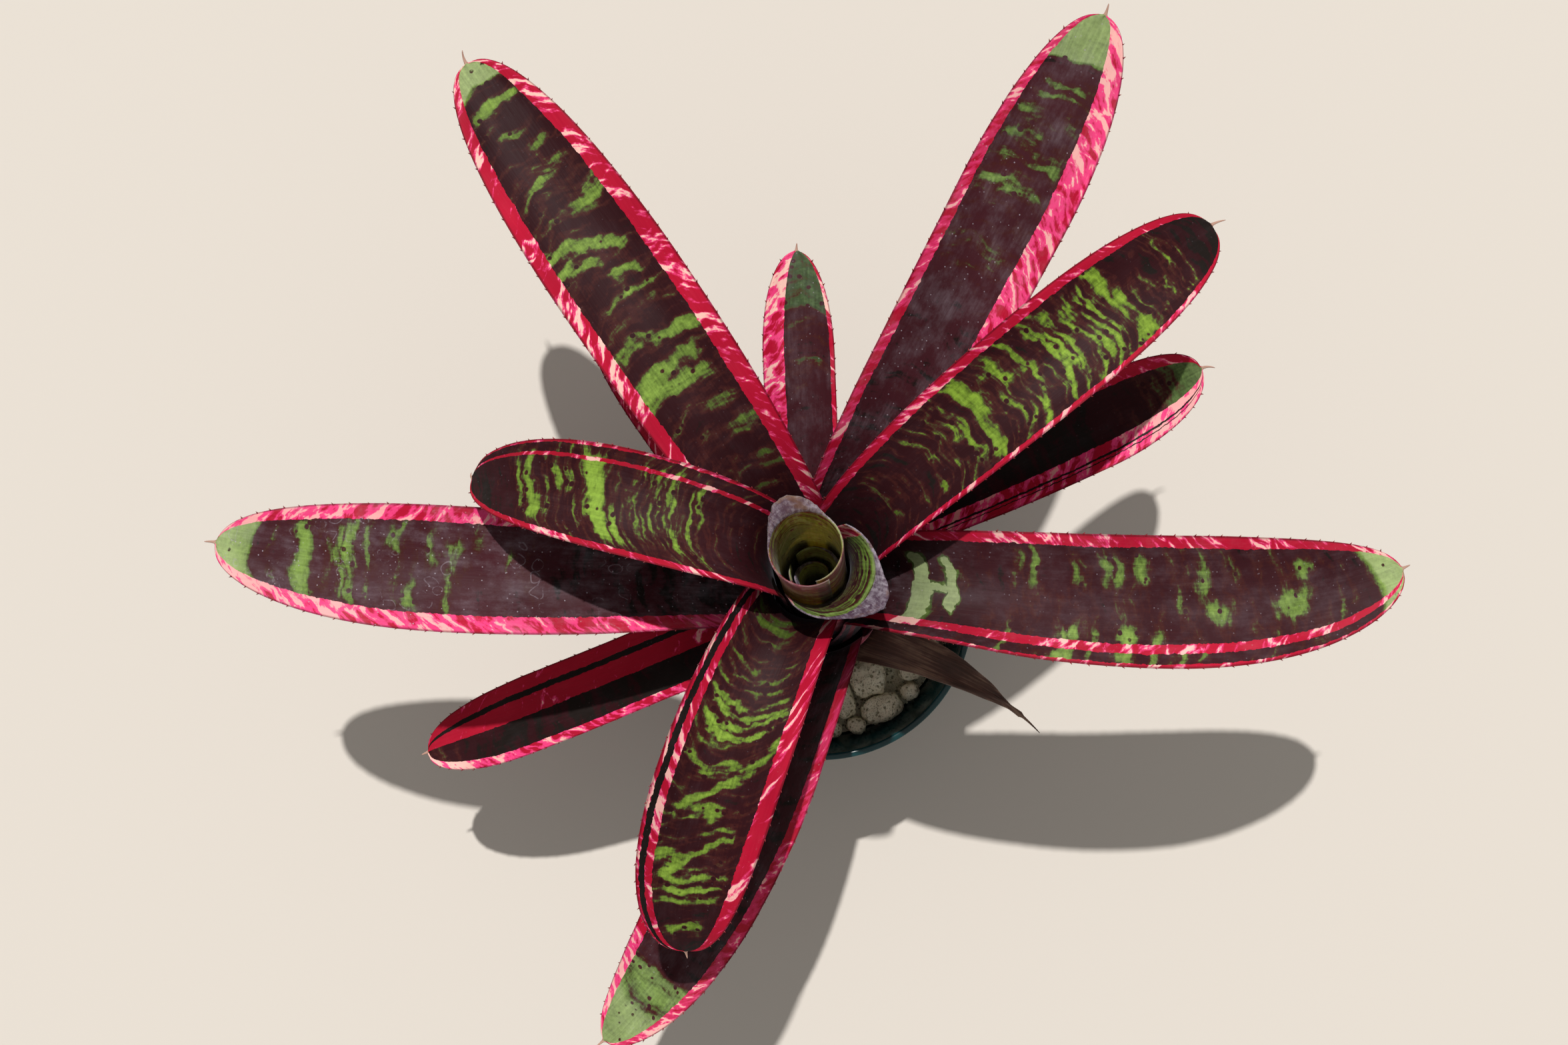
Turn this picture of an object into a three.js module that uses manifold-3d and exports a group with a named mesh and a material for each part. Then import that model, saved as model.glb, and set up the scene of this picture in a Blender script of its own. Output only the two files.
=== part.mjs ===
// A neoregelia bromeliad growing in a small round pot filled with pumice stones.
//
// The pot stands on z = 0 with its axis on the z axis, +Y is called north and +X east, and
// every length is in millimetres. The rosette stands on a short stem, a little off the pot's
// axis and leaning. Each leaf is a sheath that wraps the stem and the younger leaves inside
// it, and a strap-shaped blade that leaves the sheath and reaches out to its tip. The sheaths
// are nested shells of revolution about the rosette's axis, youngest inside.
import * as THREE from 'three';
import { mergeVertices } from 'three/addons/utils/BufferGeometryUtils.js';
import Module from 'manifold-3d';

const wasm = await Module();
wasm.setup();

const GAP = 0.3; // clearance between pieces that touch

// Pot: a thin-walled tapered pot, slightly thicker in a band under its rim, with holes in its
// floor.
const POT = {
  height: 80, rimRadius: 57, footRadius: 42.5, wall: 1.8, floor: 2.2, sides: 48,
  bandHeight: 7, bandStep: 0.7, holeRadius: 3.5, holeCircle: 25, holes: 6,
};

// Pumice: a bed up to the stem's foot, and single stones lying on it.
const BED_TOP = 56;
const STONE_DETAIL = 1;

// Rosette: where its axis leaves the pumice, and how far it leans towards which side.
const ROSETTE = { foot: [1, -1.5, 64], lean: 12, leanTowards: 106 };
const STEM = { bottom: -26, top: 40, footRadius: 9, taper: 0.15, sides: 14 };
const ROOTS = { count: 6, radius: 1.1, from: -14, spread: 30, drop: 24, sides: 6, steps: 6 };

const LEAF_THICKNESS = 0.8;
const EDGE_THICKNESS = 0.5; // at the margins, the foot and the tip
const SHEATH_FLARE = 20; // height over which a sheath swells from the stem to its shell
const SHEATH_WRAP = 88; // half-angle that a sheath covers at its foot, degrees

// Rolled leaves at the heart, youngest first. heading: side its midrib is on, degrees from
// east towards north; shell: radius of its sheath; foot, rim: heights on the rosette's axis;
// wrap: half-angle covered; overlap: how much the roll spirals outward; flare, shift: how much
// its mouth widens and moves towards its midrib over the last mouth millimetres; lip: how much
// further its tip side reaches, over a half-angle of lipWidth.
const ROLLED_LEAVES = [
  { name: 'young_leaf_inner', heading: 200, shell: 5.4, foot: 34.4, rim: 72, wrap: 165, overlap: 0,
    flare: 0.4, shift: 0.3, mouth: 20, lip: 8, lipWidth: 60 },
  { name: 'young_leaf_outer', heading: 330, shell: 8.1, foot: 31.5, rim: 86, wrap: 168, overlap: 0,
    flare: 0.3, shift: 0.2, mouth: 20, lip: 9, lipWidth: 60 },
  { name: 'tube_leaf', heading: 115, shell: 10.5, foot: 28.5, rim: 119, wrap: 190, overlap: 0.65,
    flare: 1.0, shift: 2.2, mouth: 24, lip: 7, lipWidth: 42 },
  { name: 'funnel_leaf', heading: 325, shell: 12.9, foot: 25, rim: 112, wrap: 104, overlap: 0,
    flare: 3.4, shift: 7.2, mouth: 24, lip: 6.5, lipWidth: 32 },
];

// Strap leaves from the inside of the rosette outwards. heading, shell and foot as above;
// rise: height where the blade leaves the sheath; tip: where the leaf ends, in the pot's
// frame; lift: how far the blade first carries on upwards; reach: how far the last stretch
// runs straight at the tip; droop: how far that stretch points down and turn: how far it
// turns to the left, degrees; width: widest, at the share widest of the blade; neck: width
// where the blade leaves the sheath; channel: half-angle of the blade's trough at its middle,
// degrees; blunt: shape of the end, 0.5 an ellipse, less a blunter end and more a sharper one.
const STRAP_LEAVES = [
  { name: 'arching_leaf_west', heading: 165, shell: 14.1, foot: 23, rise: 92, tip: [-119.5, 47.5, 150],
    lift: 40, reach: 42, droop: 48, turn: 12, width: 37, widest: 0.5, neck: 32, channel: 34, blunt: 0.48 },
  { name: 'arching_leaf_northeast', heading: 46, shell: 15.2, foot: 21.2, rise: 74, tip: [128.5, 131.5, 160],
    lift: 50, reach: 52, droop: 36, turn: -2, width: 39, widest: 0.6, neck: 27, channel: 34, blunt: 0.45 },
  { name: 'arching_leaf_south', heading: 241, shell: 16.4, foot: 19, rise: 80, tip: [-47.5, -113.5, 148],
    lift: 38, reach: 42, droop: 40, turn: 24, width: 44, widest: 0.55, neck: 35, channel: 36, blunt: 0.48 },
  { name: 'long_leaf_northwest', heading: 125, shell: 17.6, foot: 17, rise: 68, tip: [-121.5, 187.5, 151],
    lift: 46, reach: 70, droop: 4, turn: 1, width: 45, widest: 0.55, neck: 35, channel: 28, blunt: 0.42 },
  { name: 'long_leaf_east', heading: 354, shell: 18.8, foot: 15, rise: 70, tip: [196.5, 16.5, 147],
    lift: 34, reach: 66, droop: -3, turn: 22, width: 47, widest: 0.58, neck: 35, channel: 26, blunt: 0.47 },
  { name: 'long_leaf_west', heading: 178, shell: 20.0, foot: 13, rise: 53, tip: [-207.5, 25.5, 147],
    lift: 32, reach: 70, droop: -3, turn: -8, width: 45, widest: 0.6, neck: 34, channel: 26, blunt: 0.45 },
  { name: 'long_leaf_north', heading: 62, shell: 21.2, foot: 11.2, rise: 54, tip: [87.5, 192.5, 195],
    lift: 44, reach: 70, droop: -10, turn: 3, width: 40, widest: 0.68, neck: 34, channel: 30, blunt: 0.45 },
  { name: 'long_leaf_south', heading: 269, shell: 22.4, foot: 9.4, rise: 40, tip: [-79.5, -156.5, 100],
    lift: 34, reach: 76, droop: 12, turn: -17, width: 43, widest: 0.5, neck: 36, channel: 34, blunt: 0.52 },
  { name: 'short_leaf_northeast', heading: 50, shell: 23.4, foot: 7.6, rise: 40, tip: [131.9, 86.2, 129],
    lift: 27, reach: 45, droop: 2, turn: 0, width: 35, widest: 0.7, neck: 20, channel: 50, blunt: 0.45 },
  { name: 'short_leaf_southwest', heading: 207, shell: 24.4, foot: 6, rise: 30, tip: [-148.2, -54.5, 74],
    lift: 22, reach: 50, droop: 16, turn: -5, width: 33, widest: 0.62, neck: 30, channel: 52, blunt: 0.45 },
  { name: 'short_leaf_north', heading: 100, shell: 25.4, foot: 4.4, rise: 26, tip: [-9.5, 130.5, 105],
    lift: 16, reach: 36, droop: 4, turn: -4, width: 28, widest: 0.62, neck: 26, channel: 36, blunt: 0.5 },
  { name: 'hidden_leaf_northwest', heading: 138, shell: 26.5, foot: 2.8, rise: 23, tip: [-82.5, 111.5, 104],
    lift: 14, reach: 40, droop: 4, turn: 0, width: 32, widest: 0.6, neck: 26, channel: 34, blunt: 0.5 },
  { name: 'dry_leaf', heading: 322, shell: 24.0, foot: 1.4, rise: 14, tip: [73.5, -39, 88],
    lift: 6, reach: 26, droop: 6, turn: -12, width: 21, widest: 0.1, neck: 21, channel: 66, blunt: 1.3 },
];

// Stones on the bed: [x, y, half-lengths along x, y and z, turn in degrees].
const STONES = [
  [18.5, -27.7, 7.4, 7.2, 6.6, 10], [23.5, -39, 8.5, 5.7, 7, 20], [8.2, -35.6, 4.9, 8.1, 6.4, 22],
  [34.7, -24.2, 5.5, 4.3, 6.6, 4], [27.1, -19, 4.2, 4.4, 5.2, 0], [34.3, -32.3, 4.1, 3.7, 5.8, 20],
  [13.8, -45.6, 3.9, 3.5, 6.6, -14], [-2.4, -37.8, 5.8, 8.6, 6, 4], [3.5, -47.4, 4.8, 3.2, 6.8, 4],
  [8.1, -23.3, 4, 4.2, 5, 0], [-12.9, -35, 5.5, 7.5, 5.8, -38], [-2.5, -24.5, 6.4, 4.6, 4.8, 12],
  [-22.9, -25.6, 5.4, 6.2, 5.6, 20], [-13.3, -23.1, 4.5, 5.8, 4.4, -10], [42.5, -17.2, 4.5, 6.9, 6.4, 8],
  [34.5, -11.9, 4.2, 5.2, 4.8, 10], [41.9, 0.1, 4.6, 8.2, 6.2, 17], [24, -10, 4.6, 4.4, 4.2, 0],
  [32, -1, 5, 5.4, 5, 14], [-27.3, -9, 4.6, 8.4, 5.8, -4], [34.7, 12.3, 6.6, 4.9, 5.8, -50],
  [24.1, 20.9, 7.1, 4.9, 5.6, -30], [-23.6, -39.8, 4.6, 4.6, 5.2, 24], [-31.1, -32.4, 5.5, 6.3, 5.8, -40],
  [-40.7, -20.1, 6.2, 5, 5.6, 62], [-46, -5.5, 5.2, 6.4, 6, 8], [-44.3, 10.4, 5.6, 6.2, 5.4, -14],
  [-38, 25.5, 6.4, 5, 6.2, 36], [-26.3, 36.7, 5.4, 6.2, 5.6, 48], [-11.8, 44.4, 6.8, 5.2, 6, -8],
  [4.4, 45.6, 6, 5.4, 5.4, 12], [19.2, 41.3, 5.6, 6, 6.2, -24], [33, 32.5, 5, 6.4, 5.4, 50],
  [42.6, 18.3, 4.8, 6, 5.8, 20], [-26, 18, 5.4, 6, 4.8, 10], [-10, 27.5, 6.2, 4.8, 5, 40],
  [9, 28.5, 5.2, 5.6, 4.8, -20], [-29, 3.5, 4.6, 5.2, 4.6, -30],
];

const DEGREE = Math.PI / 180;
const UP = new THREE.Vector3(0, 0, 1);

const FINISHES = {
  pot: { color: 0x0d4a4c, roughness: 0.18, metalness: 0 },
  pumice: { color: 0xa8a494, roughness: 0.95, metalness: 0 },
  stem: { color: 0x8a7a55, roughness: 0.8, metalness: 0 },
  rolled: { color: 0x6f7a35, roughness: 0.45, metalness: 0 },
  leaf: { color: 0x5a1626, roughness: 0.45, metalness: 0 },
  dry: { color: 0x6b4630, roughness: 0.85, metalness: 0 },
};

const smoothstep = (x) => THREE.MathUtils.smoothstep(x, 0, 1);
const lerp = THREE.MathUtils.lerp;

function piece(name, geometry, finish) {
  const mesh = new THREE.Mesh(geometry, new THREE.MeshStandardMaterial(FINISHES[finish]));
  mesh.name = name;
  return mesh;
}

// ---- joining and cutting ----

function toSolid(geometry) {
  const bare = geometry.clone();
  bare.deleteAttribute('normal');
  bare.deleteAttribute('uv');
  const merged = mergeVertices(bare, 1e-4);
  return new wasm.Manifold(new wasm.Mesh({
    numProp: 3,
    vertProperties: new Float32Array(merged.attributes.position.array),
    triVerts: new Uint32Array(merged.index.array),
  }));
}

function toGeometry(solid) {
  const mesh = solid.getMesh();
  const geometry = new THREE.BufferGeometry();
  geometry.setAttribute('position', new THREE.BufferAttribute(mesh.vertProperties, 3));
  geometry.setIndex(new THREE.BufferAttribute(mesh.triVerts, 1));
  return geometry;
}

// ---- pot and pumice ----

function turned(profile, sides) {
  const points = profile.map(([radius, height]) => new THREE.Vector2(radius, height));
  return new THREE.LatheGeometry(points, sides).rotateX(Math.PI / 2);
}

// Radius of the pot's inner wall at a height.
function potInside(height) {
  const outside = lerp(POT.footRadius, POT.rimRadius - POT.bandStep, height / POT.height);
  return outside - POT.wall;
}

function makePot() {
  const { height, rimRadius, footRadius, wall, floor, bandHeight, bandStep } = POT;
  const band = height - bandHeight;
  const profile = [
    [0, 0], [footRadius - 1, 0], [footRadius, 1],
    [potInside(band) + wall, band], [potInside(band) + wall + bandStep, band + bandStep],
    [rimRadius, height - 0.8], [rimRadius - 0.5, height], [rimRadius - wall, height],
    [potInside(height), height - 0.6], [potInside(floor + 1), floor + 1],
    [potInside(floor) - 1, floor], [0, floor],
  ];
  let pot = toSolid(turned(profile, POT.sides));
  for (let i = 0; i < POT.holes; i++) {
    const angle = (i * 2 * Math.PI) / POT.holes;
    const hole = new THREE.CylinderGeometry(POT.holeRadius, POT.holeRadius, 4 * floor, 12);
    hole.rotateX(Math.PI / 2);
    hole.translate(POT.holeCircle * Math.cos(angle), POT.holeCircle * Math.sin(angle), floor / 2);
    pot = pot.subtract(toSolid(hole));
  }
  return piece('pot', toGeometry(pot), 'pot');
}

function makeBed(plantCut) {
  const low = POT.floor + GAP;
  const wallGap = GAP + 0.2;
  const profile = [
    [0, low], [potInside(low) - wallGap - 1, low], [potInside(low + 1) - wallGap, low + 1],
    [potInside(BED_TOP) - wallGap, BED_TOP], [0, BED_TOP],
  ];
  const bed = toSolid(turned(profile, POT.sides)).subtract(plantCut);
  return piece('pumice_bed', toGeometry(bed), 'pumice');
}

// A worn, angular pebble: a rounded body with shallow bumps that differ from stone to stone.
function makeStone(place, index) {
  const [x, y, halfX, halfY, halfZ, turn] = place;
  const geometry = new THREE.IcosahedronGeometry(1, STONE_DETAIL);
  const position = geometry.attributes.position;
  const point = new THREE.Vector3();
  for (let i = 0; i < position.count; i++) {
    point.fromBufferAttribute(position, i);
    const bump = Math.sin(3.1 * point.x + index) * Math.cos(2.7 * point.y - 2 * index)
      + 0.6 * Math.sin(4.3 * point.z + 3 * index);
    point.multiplyScalar(0.95 + 0.05 * bump);
    position.setXYZ(i, point.x * halfX, point.y * halfY, point.z * halfZ);
  }
  geometry.computeBoundingBox();
  const stone = piece(`pumice_stone_${String(index + 1).padStart(2, '0')}`, geometry, 'pumice');
  stone.position.set(x, y, BED_TOP + GAP - geometry.boundingBox.min.z);
  stone.rotation.z = turn * DEGREE;
  return stone;
}

// ---- stem and roots ----

function stemRadius(height) {
  return STEM.footRadius - STEM.taper * Math.max(height, 0);
}

// The stem and its roots, grown thicker all round by swell to cut their room in the bed.
function plantCore(swell) {
  const { bottom, top } = STEM;
  const blunt = [stemRadius(bottom) - 5 + swell, bottom - swell];
  const profile = [
    [0, bottom - swell], blunt, [stemRadius(0) - 1 + swell, bottom / 2], [stemRadius(0) + swell, 0],
    [stemRadius(top - 2) + swell, top - 2], [1.5 + swell, top + swell], [0, top + swell],
  ];
  let core = toSolid(turned(profile, STEM.sides));
  for (let i = 0; i < ROOTS.count; i++) {
    const angle = ((i + 0.5) * 2 * Math.PI) / ROOTS.count;
    core = core.add(toSolid(makeRoot(angle, swell)));
  }
  return core;
}

function makeRoot(angle, swell) {
  const radius = ROOTS.radius + swell;
  const end = ROOTS.from - ROOTS.drop - swell;
  const out = new THREE.Vector3(Math.cos(angle), Math.sin(angle), 0);
  const path = new THREE.QuadraticBezierCurve3(
    out.clone().multiplyScalar(2).setZ(ROOTS.from),
    out.clone().multiplyScalar(0.7 * ROOTS.spread).setZ(ROOTS.from),
    out.clone().multiplyScalar(ROOTS.spread).setZ(end),
  );
  const section = new THREE.Shape();
  for (let i = 0; i < ROOTS.sides; i++) {
    const turn = (i * 2 * Math.PI) / ROOTS.sides;
    const corner = [radius * Math.cos(turn), radius * Math.sin(turn)];
    if (i === 0) section.moveTo(...corner);
    else section.lineTo(...corner);
  }
  return new THREE.ExtrudeGeometry(section, { steps: ROOTS.steps, extrudePath: path });
}

// ---- leaves ----

// A thin closed solid around the surface middle(row, column), given as a grid of points, with
// its thickness laid half on each side and thinned towards the edges of the grid.
function thickSheet(grid) {
  const rows = grid.length;
  const columns = grid[0].length;
  const vertices = [];
  const faces = [];
  const along = new THREE.Vector3();
  const across = new THREE.Vector3();
  for (let i = 0; i < rows; i++) {
    for (let j = 0; j < columns; j++) {
      along.subVectors(grid[Math.min(i + 1, rows - 1)][j], grid[Math.max(i - 1, 0)][j]);
      across.subVectors(grid[i][Math.min(j + 1, columns - 1)], grid[i][Math.max(j - 1, 0)]);
      const atEdge = i === 0 || j === 0 || i === rows - 1 || j === columns - 1;
      const half = (atEdge ? EDGE_THICKNESS : LEAF_THICKNESS) / 2;
      const offset = new THREE.Vector3().crossVectors(along, across).setLength(half);
      vertices.push(...grid[i][j].clone().add(offset).toArray());
      vertices.push(...grid[i][j].clone().sub(offset).toArray());
    }
  }
  const front = (i, j) => 2 * (i * columns + j);
  const back = (i, j) => front(i, j) + 1;
  const quad = (a, b, c, d) => faces.push(a, b, c, a, c, d);
  for (let i = 0; i + 1 < rows; i++) {
    for (let j = 0; j + 1 < columns; j++) {
      quad(front(i, j), front(i + 1, j), front(i + 1, j + 1), front(i, j + 1));
      quad(back(i, j), back(i, j + 1), back(i + 1, j + 1), back(i + 1, j));
    }
    quad(front(i, 0), back(i, 0), back(i + 1, 0), front(i + 1, 0));
    const last = columns - 1;
    quad(front(i + 1, last), back(i + 1, last), back(i, last), front(i, last));
  }
  for (let j = 0; j + 1 < columns; j++) {
    const last = rows - 1;
    quad(front(0, j + 1), back(0, j + 1), back(0, j), front(0, j));
    quad(front(last, j), back(last, j), back(last, j + 1), front(last, j + 1));
  }
  const geometry = new THREE.BufferGeometry();
  geometry.setAttribute('position', new THREE.Float32BufferAttribute(vertices, 3));
  geometry.setIndex(faces);
  return geometry;
}

// Radius of a leaf's sheath at a height: from the stem at its foot out to its own shell.
function sheathRadius(leaf, height) {
  const start = stemRadius(leaf.foot) + GAP + 0.5 * LEAF_THICKNESS;
  const share = THREE.MathUtils.clamp((height - leaf.foot) / SHEATH_FLARE, 0, 1);
  return lerp(start, leaf.shell, 1 - (1 - share) ** 2);
}

function aroundAxis(radius, angle, height) {
  return new THREE.Vector3(radius * Math.cos(angle), radius * Math.sin(angle), height);
}

// A rolled leaf: a tube around the axis with an open mouth, higher on its tip side.
function rolledLeafGrid(leaf) {
  const columns = leaf.wrap > 150 ? 14 : 10;
  const heights = [0, 0.12, 0.24, 0.5, 0.8, 0.9, 1];
  return heights.map((share) => {
    const row = [];
    for (let j = 0; j <= columns; j++) {
      const across = (2 * j) / columns - 1;
      const side = leaf.wrap * across;
      const lip = leaf.lip * Math.exp(-((side / leaf.lipWidth) ** 2));
      const height = lerp(leaf.foot, leaf.rim + lip, share);
      const open = Math.max(0, (height - leaf.rim + leaf.mouth) / leaf.mouth) ** 2;
      const radius = sheathRadius(leaf, height) + leaf.overlap * (1 + across) + leaf.flare * open;
      const point = aroundAxis(radius, (leaf.heading + side) * DEGREE, height);
      row.push(point.add(aroundAxis(leaf.shift * open, leaf.heading * DEGREE, 0)));
    }
    return row;
  });
}

// The line that a strap leaf's blade follows, in the rosette's frame.
function bladePath(leaf, rosette) {
  const heading = leaf.heading * DEGREE;
  const start = aroundAxis(sheathRadius(leaf, leaf.rise), heading, leaf.rise);
  const below = aroundAxis(sheathRadius(leaf, leaf.rise - 1), heading, leaf.rise - 1);
  const upward = start.clone().sub(below).normalize();
  const tip = new THREE.Vector3(...leaf.tip);
  const worldStart = rosette.localToWorld(start.clone());
  const towards = Math.atan2(tip.y - worldStart.y, tip.x - worldStart.x) + leaf.turn * DEGREE;
  const droop = leaf.droop * DEGREE;
  const last = aroundAxis(Math.cos(droop), towards, -Math.sin(droop));
  const beforeTip = tip.clone().addScaledVector(last, -leaf.reach);
  return new THREE.CubicBezierCurve3(
    start,
    start.clone().addScaledVector(upward, leaf.lift),
    rosette.worldToLocal(beforeTip),
    rosette.worldToLocal(tip),
  );
}

// Width of a blade at a share of its length: from the neck to its widest, then round to the tip.
function bladeWidth(leaf, share) {
  if (share < leaf.widest) {
    return lerp(leaf.neck, leaf.width, Math.sin((Math.PI / 2) * (share / leaf.widest)));
  }
  const beyond = (share - leaf.widest) / (1 - leaf.widest);
  return Math.max(2, leaf.width * (1 - beyond ** 2) ** leaf.blunt);
}

// A strap leaf: rows of its sheath, concentric with the axis, then rows of its blade, each an
// arc square to the blade's line whose trough opens out towards the tip.
function strapLeafGrid(leaf, rosette) {
  const columns = 8;
  const sheathRows = [0, 0.16, 0.34, 0.55, 0.78];
  const bladeRows = [0, 0.06, 0.12, 0.18, 0.25, 0.33, 0.42, 0.52, 0.62, 0.72, 0.81, 0.89, 0.95, 1];
  const heading = leaf.heading * DEGREE;
  const neckWrap = leaf.neck / (2 * sheathRadius(leaf, leaf.rise));
  const grid = [];
  const addRow = (centre, inward, sideways, radius, wrap) => {
    const row = [];
    for (let j = 0; j <= columns; j++) {
      const angle = wrap * ((2 * j) / columns - 1);
      row.push(centre.clone()
        .addScaledVector(inward, radius * (1 - Math.cos(angle)))
        .addScaledVector(sideways, radius * Math.sin(angle)));
    }
    grid.push(row);
  };
  const inward = aroundAxis(-1, heading, 0);
  const sideways = aroundAxis(1, heading + Math.PI / 2, 0);
  for (const share of sheathRows) {
    const height = lerp(leaf.foot, leaf.rise, share);
    const radius = sheathRadius(leaf, height);
    const wrap = lerp(SHEATH_WRAP * DEGREE, neckWrap, smoothstep(share));
    addRow(aroundAxis(radius, heading, height), inward, sideways, radius, wrap);
  }
  const path = bladePath(leaf, rosette);
  for (const share of bladeRows) {
    const along = UP.clone().lerp(path.getTangentAt(share), smoothstep(share / 0.3)).normalize();
    sideways.addScaledVector(along, -sideways.dot(along)).normalize();
    const level = new THREE.Vector3().crossVectors(along, sideways);
    const width = bladeWidth(leaf, share);
    const wrap = lerp(neckWrap, leaf.channel * DEGREE, smoothstep(share / 0.35));
    const tipWrap = wrap * lerp(1, 0.6, smoothstep((share - 0.6) / 0.4));
    addRow(path.getPointAt(share), level, sideways, width / (2 * tipWrap), tipWrap);
  }
  return grid;
}

// ---- the whole plant ----

function makeRosette() {
  const rosette = new THREE.Group();
  rosette.position.set(...ROSETTE.foot);
  const lean = ROSETTE.lean * DEGREE;
  const axis = aroundAxis(Math.sin(lean), ROSETTE.leanTowards * DEGREE, Math.cos(lean));
  rosette.quaternion.setFromUnitVectors(UP, axis);
  rosette.updateMatrixWorld();
  rosette.add(piece('stem', toGeometry(plantCore(0)), 'stem'));
  for (const leaf of ROLLED_LEAVES) {
    rosette.add(piece(leaf.name, thickSheet(rolledLeafGrid(leaf)), 'rolled'));
  }
  for (const leaf of STRAP_LEAVES) {
    const finish = leaf.name === 'dry_leaf' ? 'dry' : 'leaf';
    rosette.add(piece(leaf.name, thickSheet(strapLeafGrid(leaf, rosette)), finish));
  }
  return rosette;
}

const rosette = makeRosette();
const plantCut = toSolid(toGeometry(plantCore(GAP)).applyMatrix4(rosette.matrixWorld));

const bromeliad = new THREE.Group();
bromeliad.add(makePot(), makeBed(plantCut), ...STONES.map(makeStone), rosette);

export default bromeliad;
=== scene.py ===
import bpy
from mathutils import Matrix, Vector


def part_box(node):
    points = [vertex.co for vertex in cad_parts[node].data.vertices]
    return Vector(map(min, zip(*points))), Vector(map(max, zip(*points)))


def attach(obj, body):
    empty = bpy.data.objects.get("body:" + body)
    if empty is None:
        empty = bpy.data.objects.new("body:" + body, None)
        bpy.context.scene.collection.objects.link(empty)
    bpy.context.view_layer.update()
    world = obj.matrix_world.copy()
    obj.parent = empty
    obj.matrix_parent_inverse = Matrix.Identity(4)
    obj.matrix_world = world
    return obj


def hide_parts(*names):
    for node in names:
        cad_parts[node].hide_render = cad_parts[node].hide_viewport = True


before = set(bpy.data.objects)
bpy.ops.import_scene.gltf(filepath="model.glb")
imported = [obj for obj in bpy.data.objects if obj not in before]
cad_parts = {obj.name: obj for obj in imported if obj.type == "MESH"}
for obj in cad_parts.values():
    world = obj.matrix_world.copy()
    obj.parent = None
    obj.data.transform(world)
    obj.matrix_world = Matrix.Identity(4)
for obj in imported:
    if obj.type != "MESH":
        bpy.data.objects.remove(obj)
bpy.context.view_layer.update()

import math
import random

import bmesh
import bpy
from bpy.props import FloatProperty, FloatVectorProperty, IntProperty, PointerProperty
from mathutils import Matrix, Vector, noise

bl_info = {
    "name": "Potted bromeliad",
    "version": (1, 0, 0),
    "blender": (4, 5, 0),
    "location": "3D View > Sidebar > Bromeliad",
    "description": "Builds a bromeliad with banded leaves, growing in pumice in a small pot",
    "category": "Add Mesh",
}

# Lengths in the tables are in millimetres and angles in degrees, in the frame of the solid
# model: the pot stands on z = 0 with its axis on z, east is +X and north is +Y. The sheaths and
# rolled leaves are laid out round an upright axis, and then lean with the rosette.
MM = 0.001
UP = Vector((0, 0, 1))
POT_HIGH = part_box("pot")[1]

# The rosette's foot and lean; the stem's radius and how it narrows for each millimetre up; how
# far off the stem a sheath starts, how far up it swells and the half-angle that it wraps; the
# top of the pumice bed, how far over it the stones lie, how far out its grains lie, and how
# blocky the stones are (2 is round).
ROSETTE = {"foot": (1, -1.5, 64), "lean": 12, "towards": 106}
STEM = {"radius": 9, "taper": 0.15}
SHEATH_GAP = 0.7
SHEATH_FLARE = 20
SHEATH_WRAP = 88
BED_TOP = 56
STONE_GAP = 0.3
GRAINS_REACH = 50.5
BLOCKY = 2.5

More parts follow.
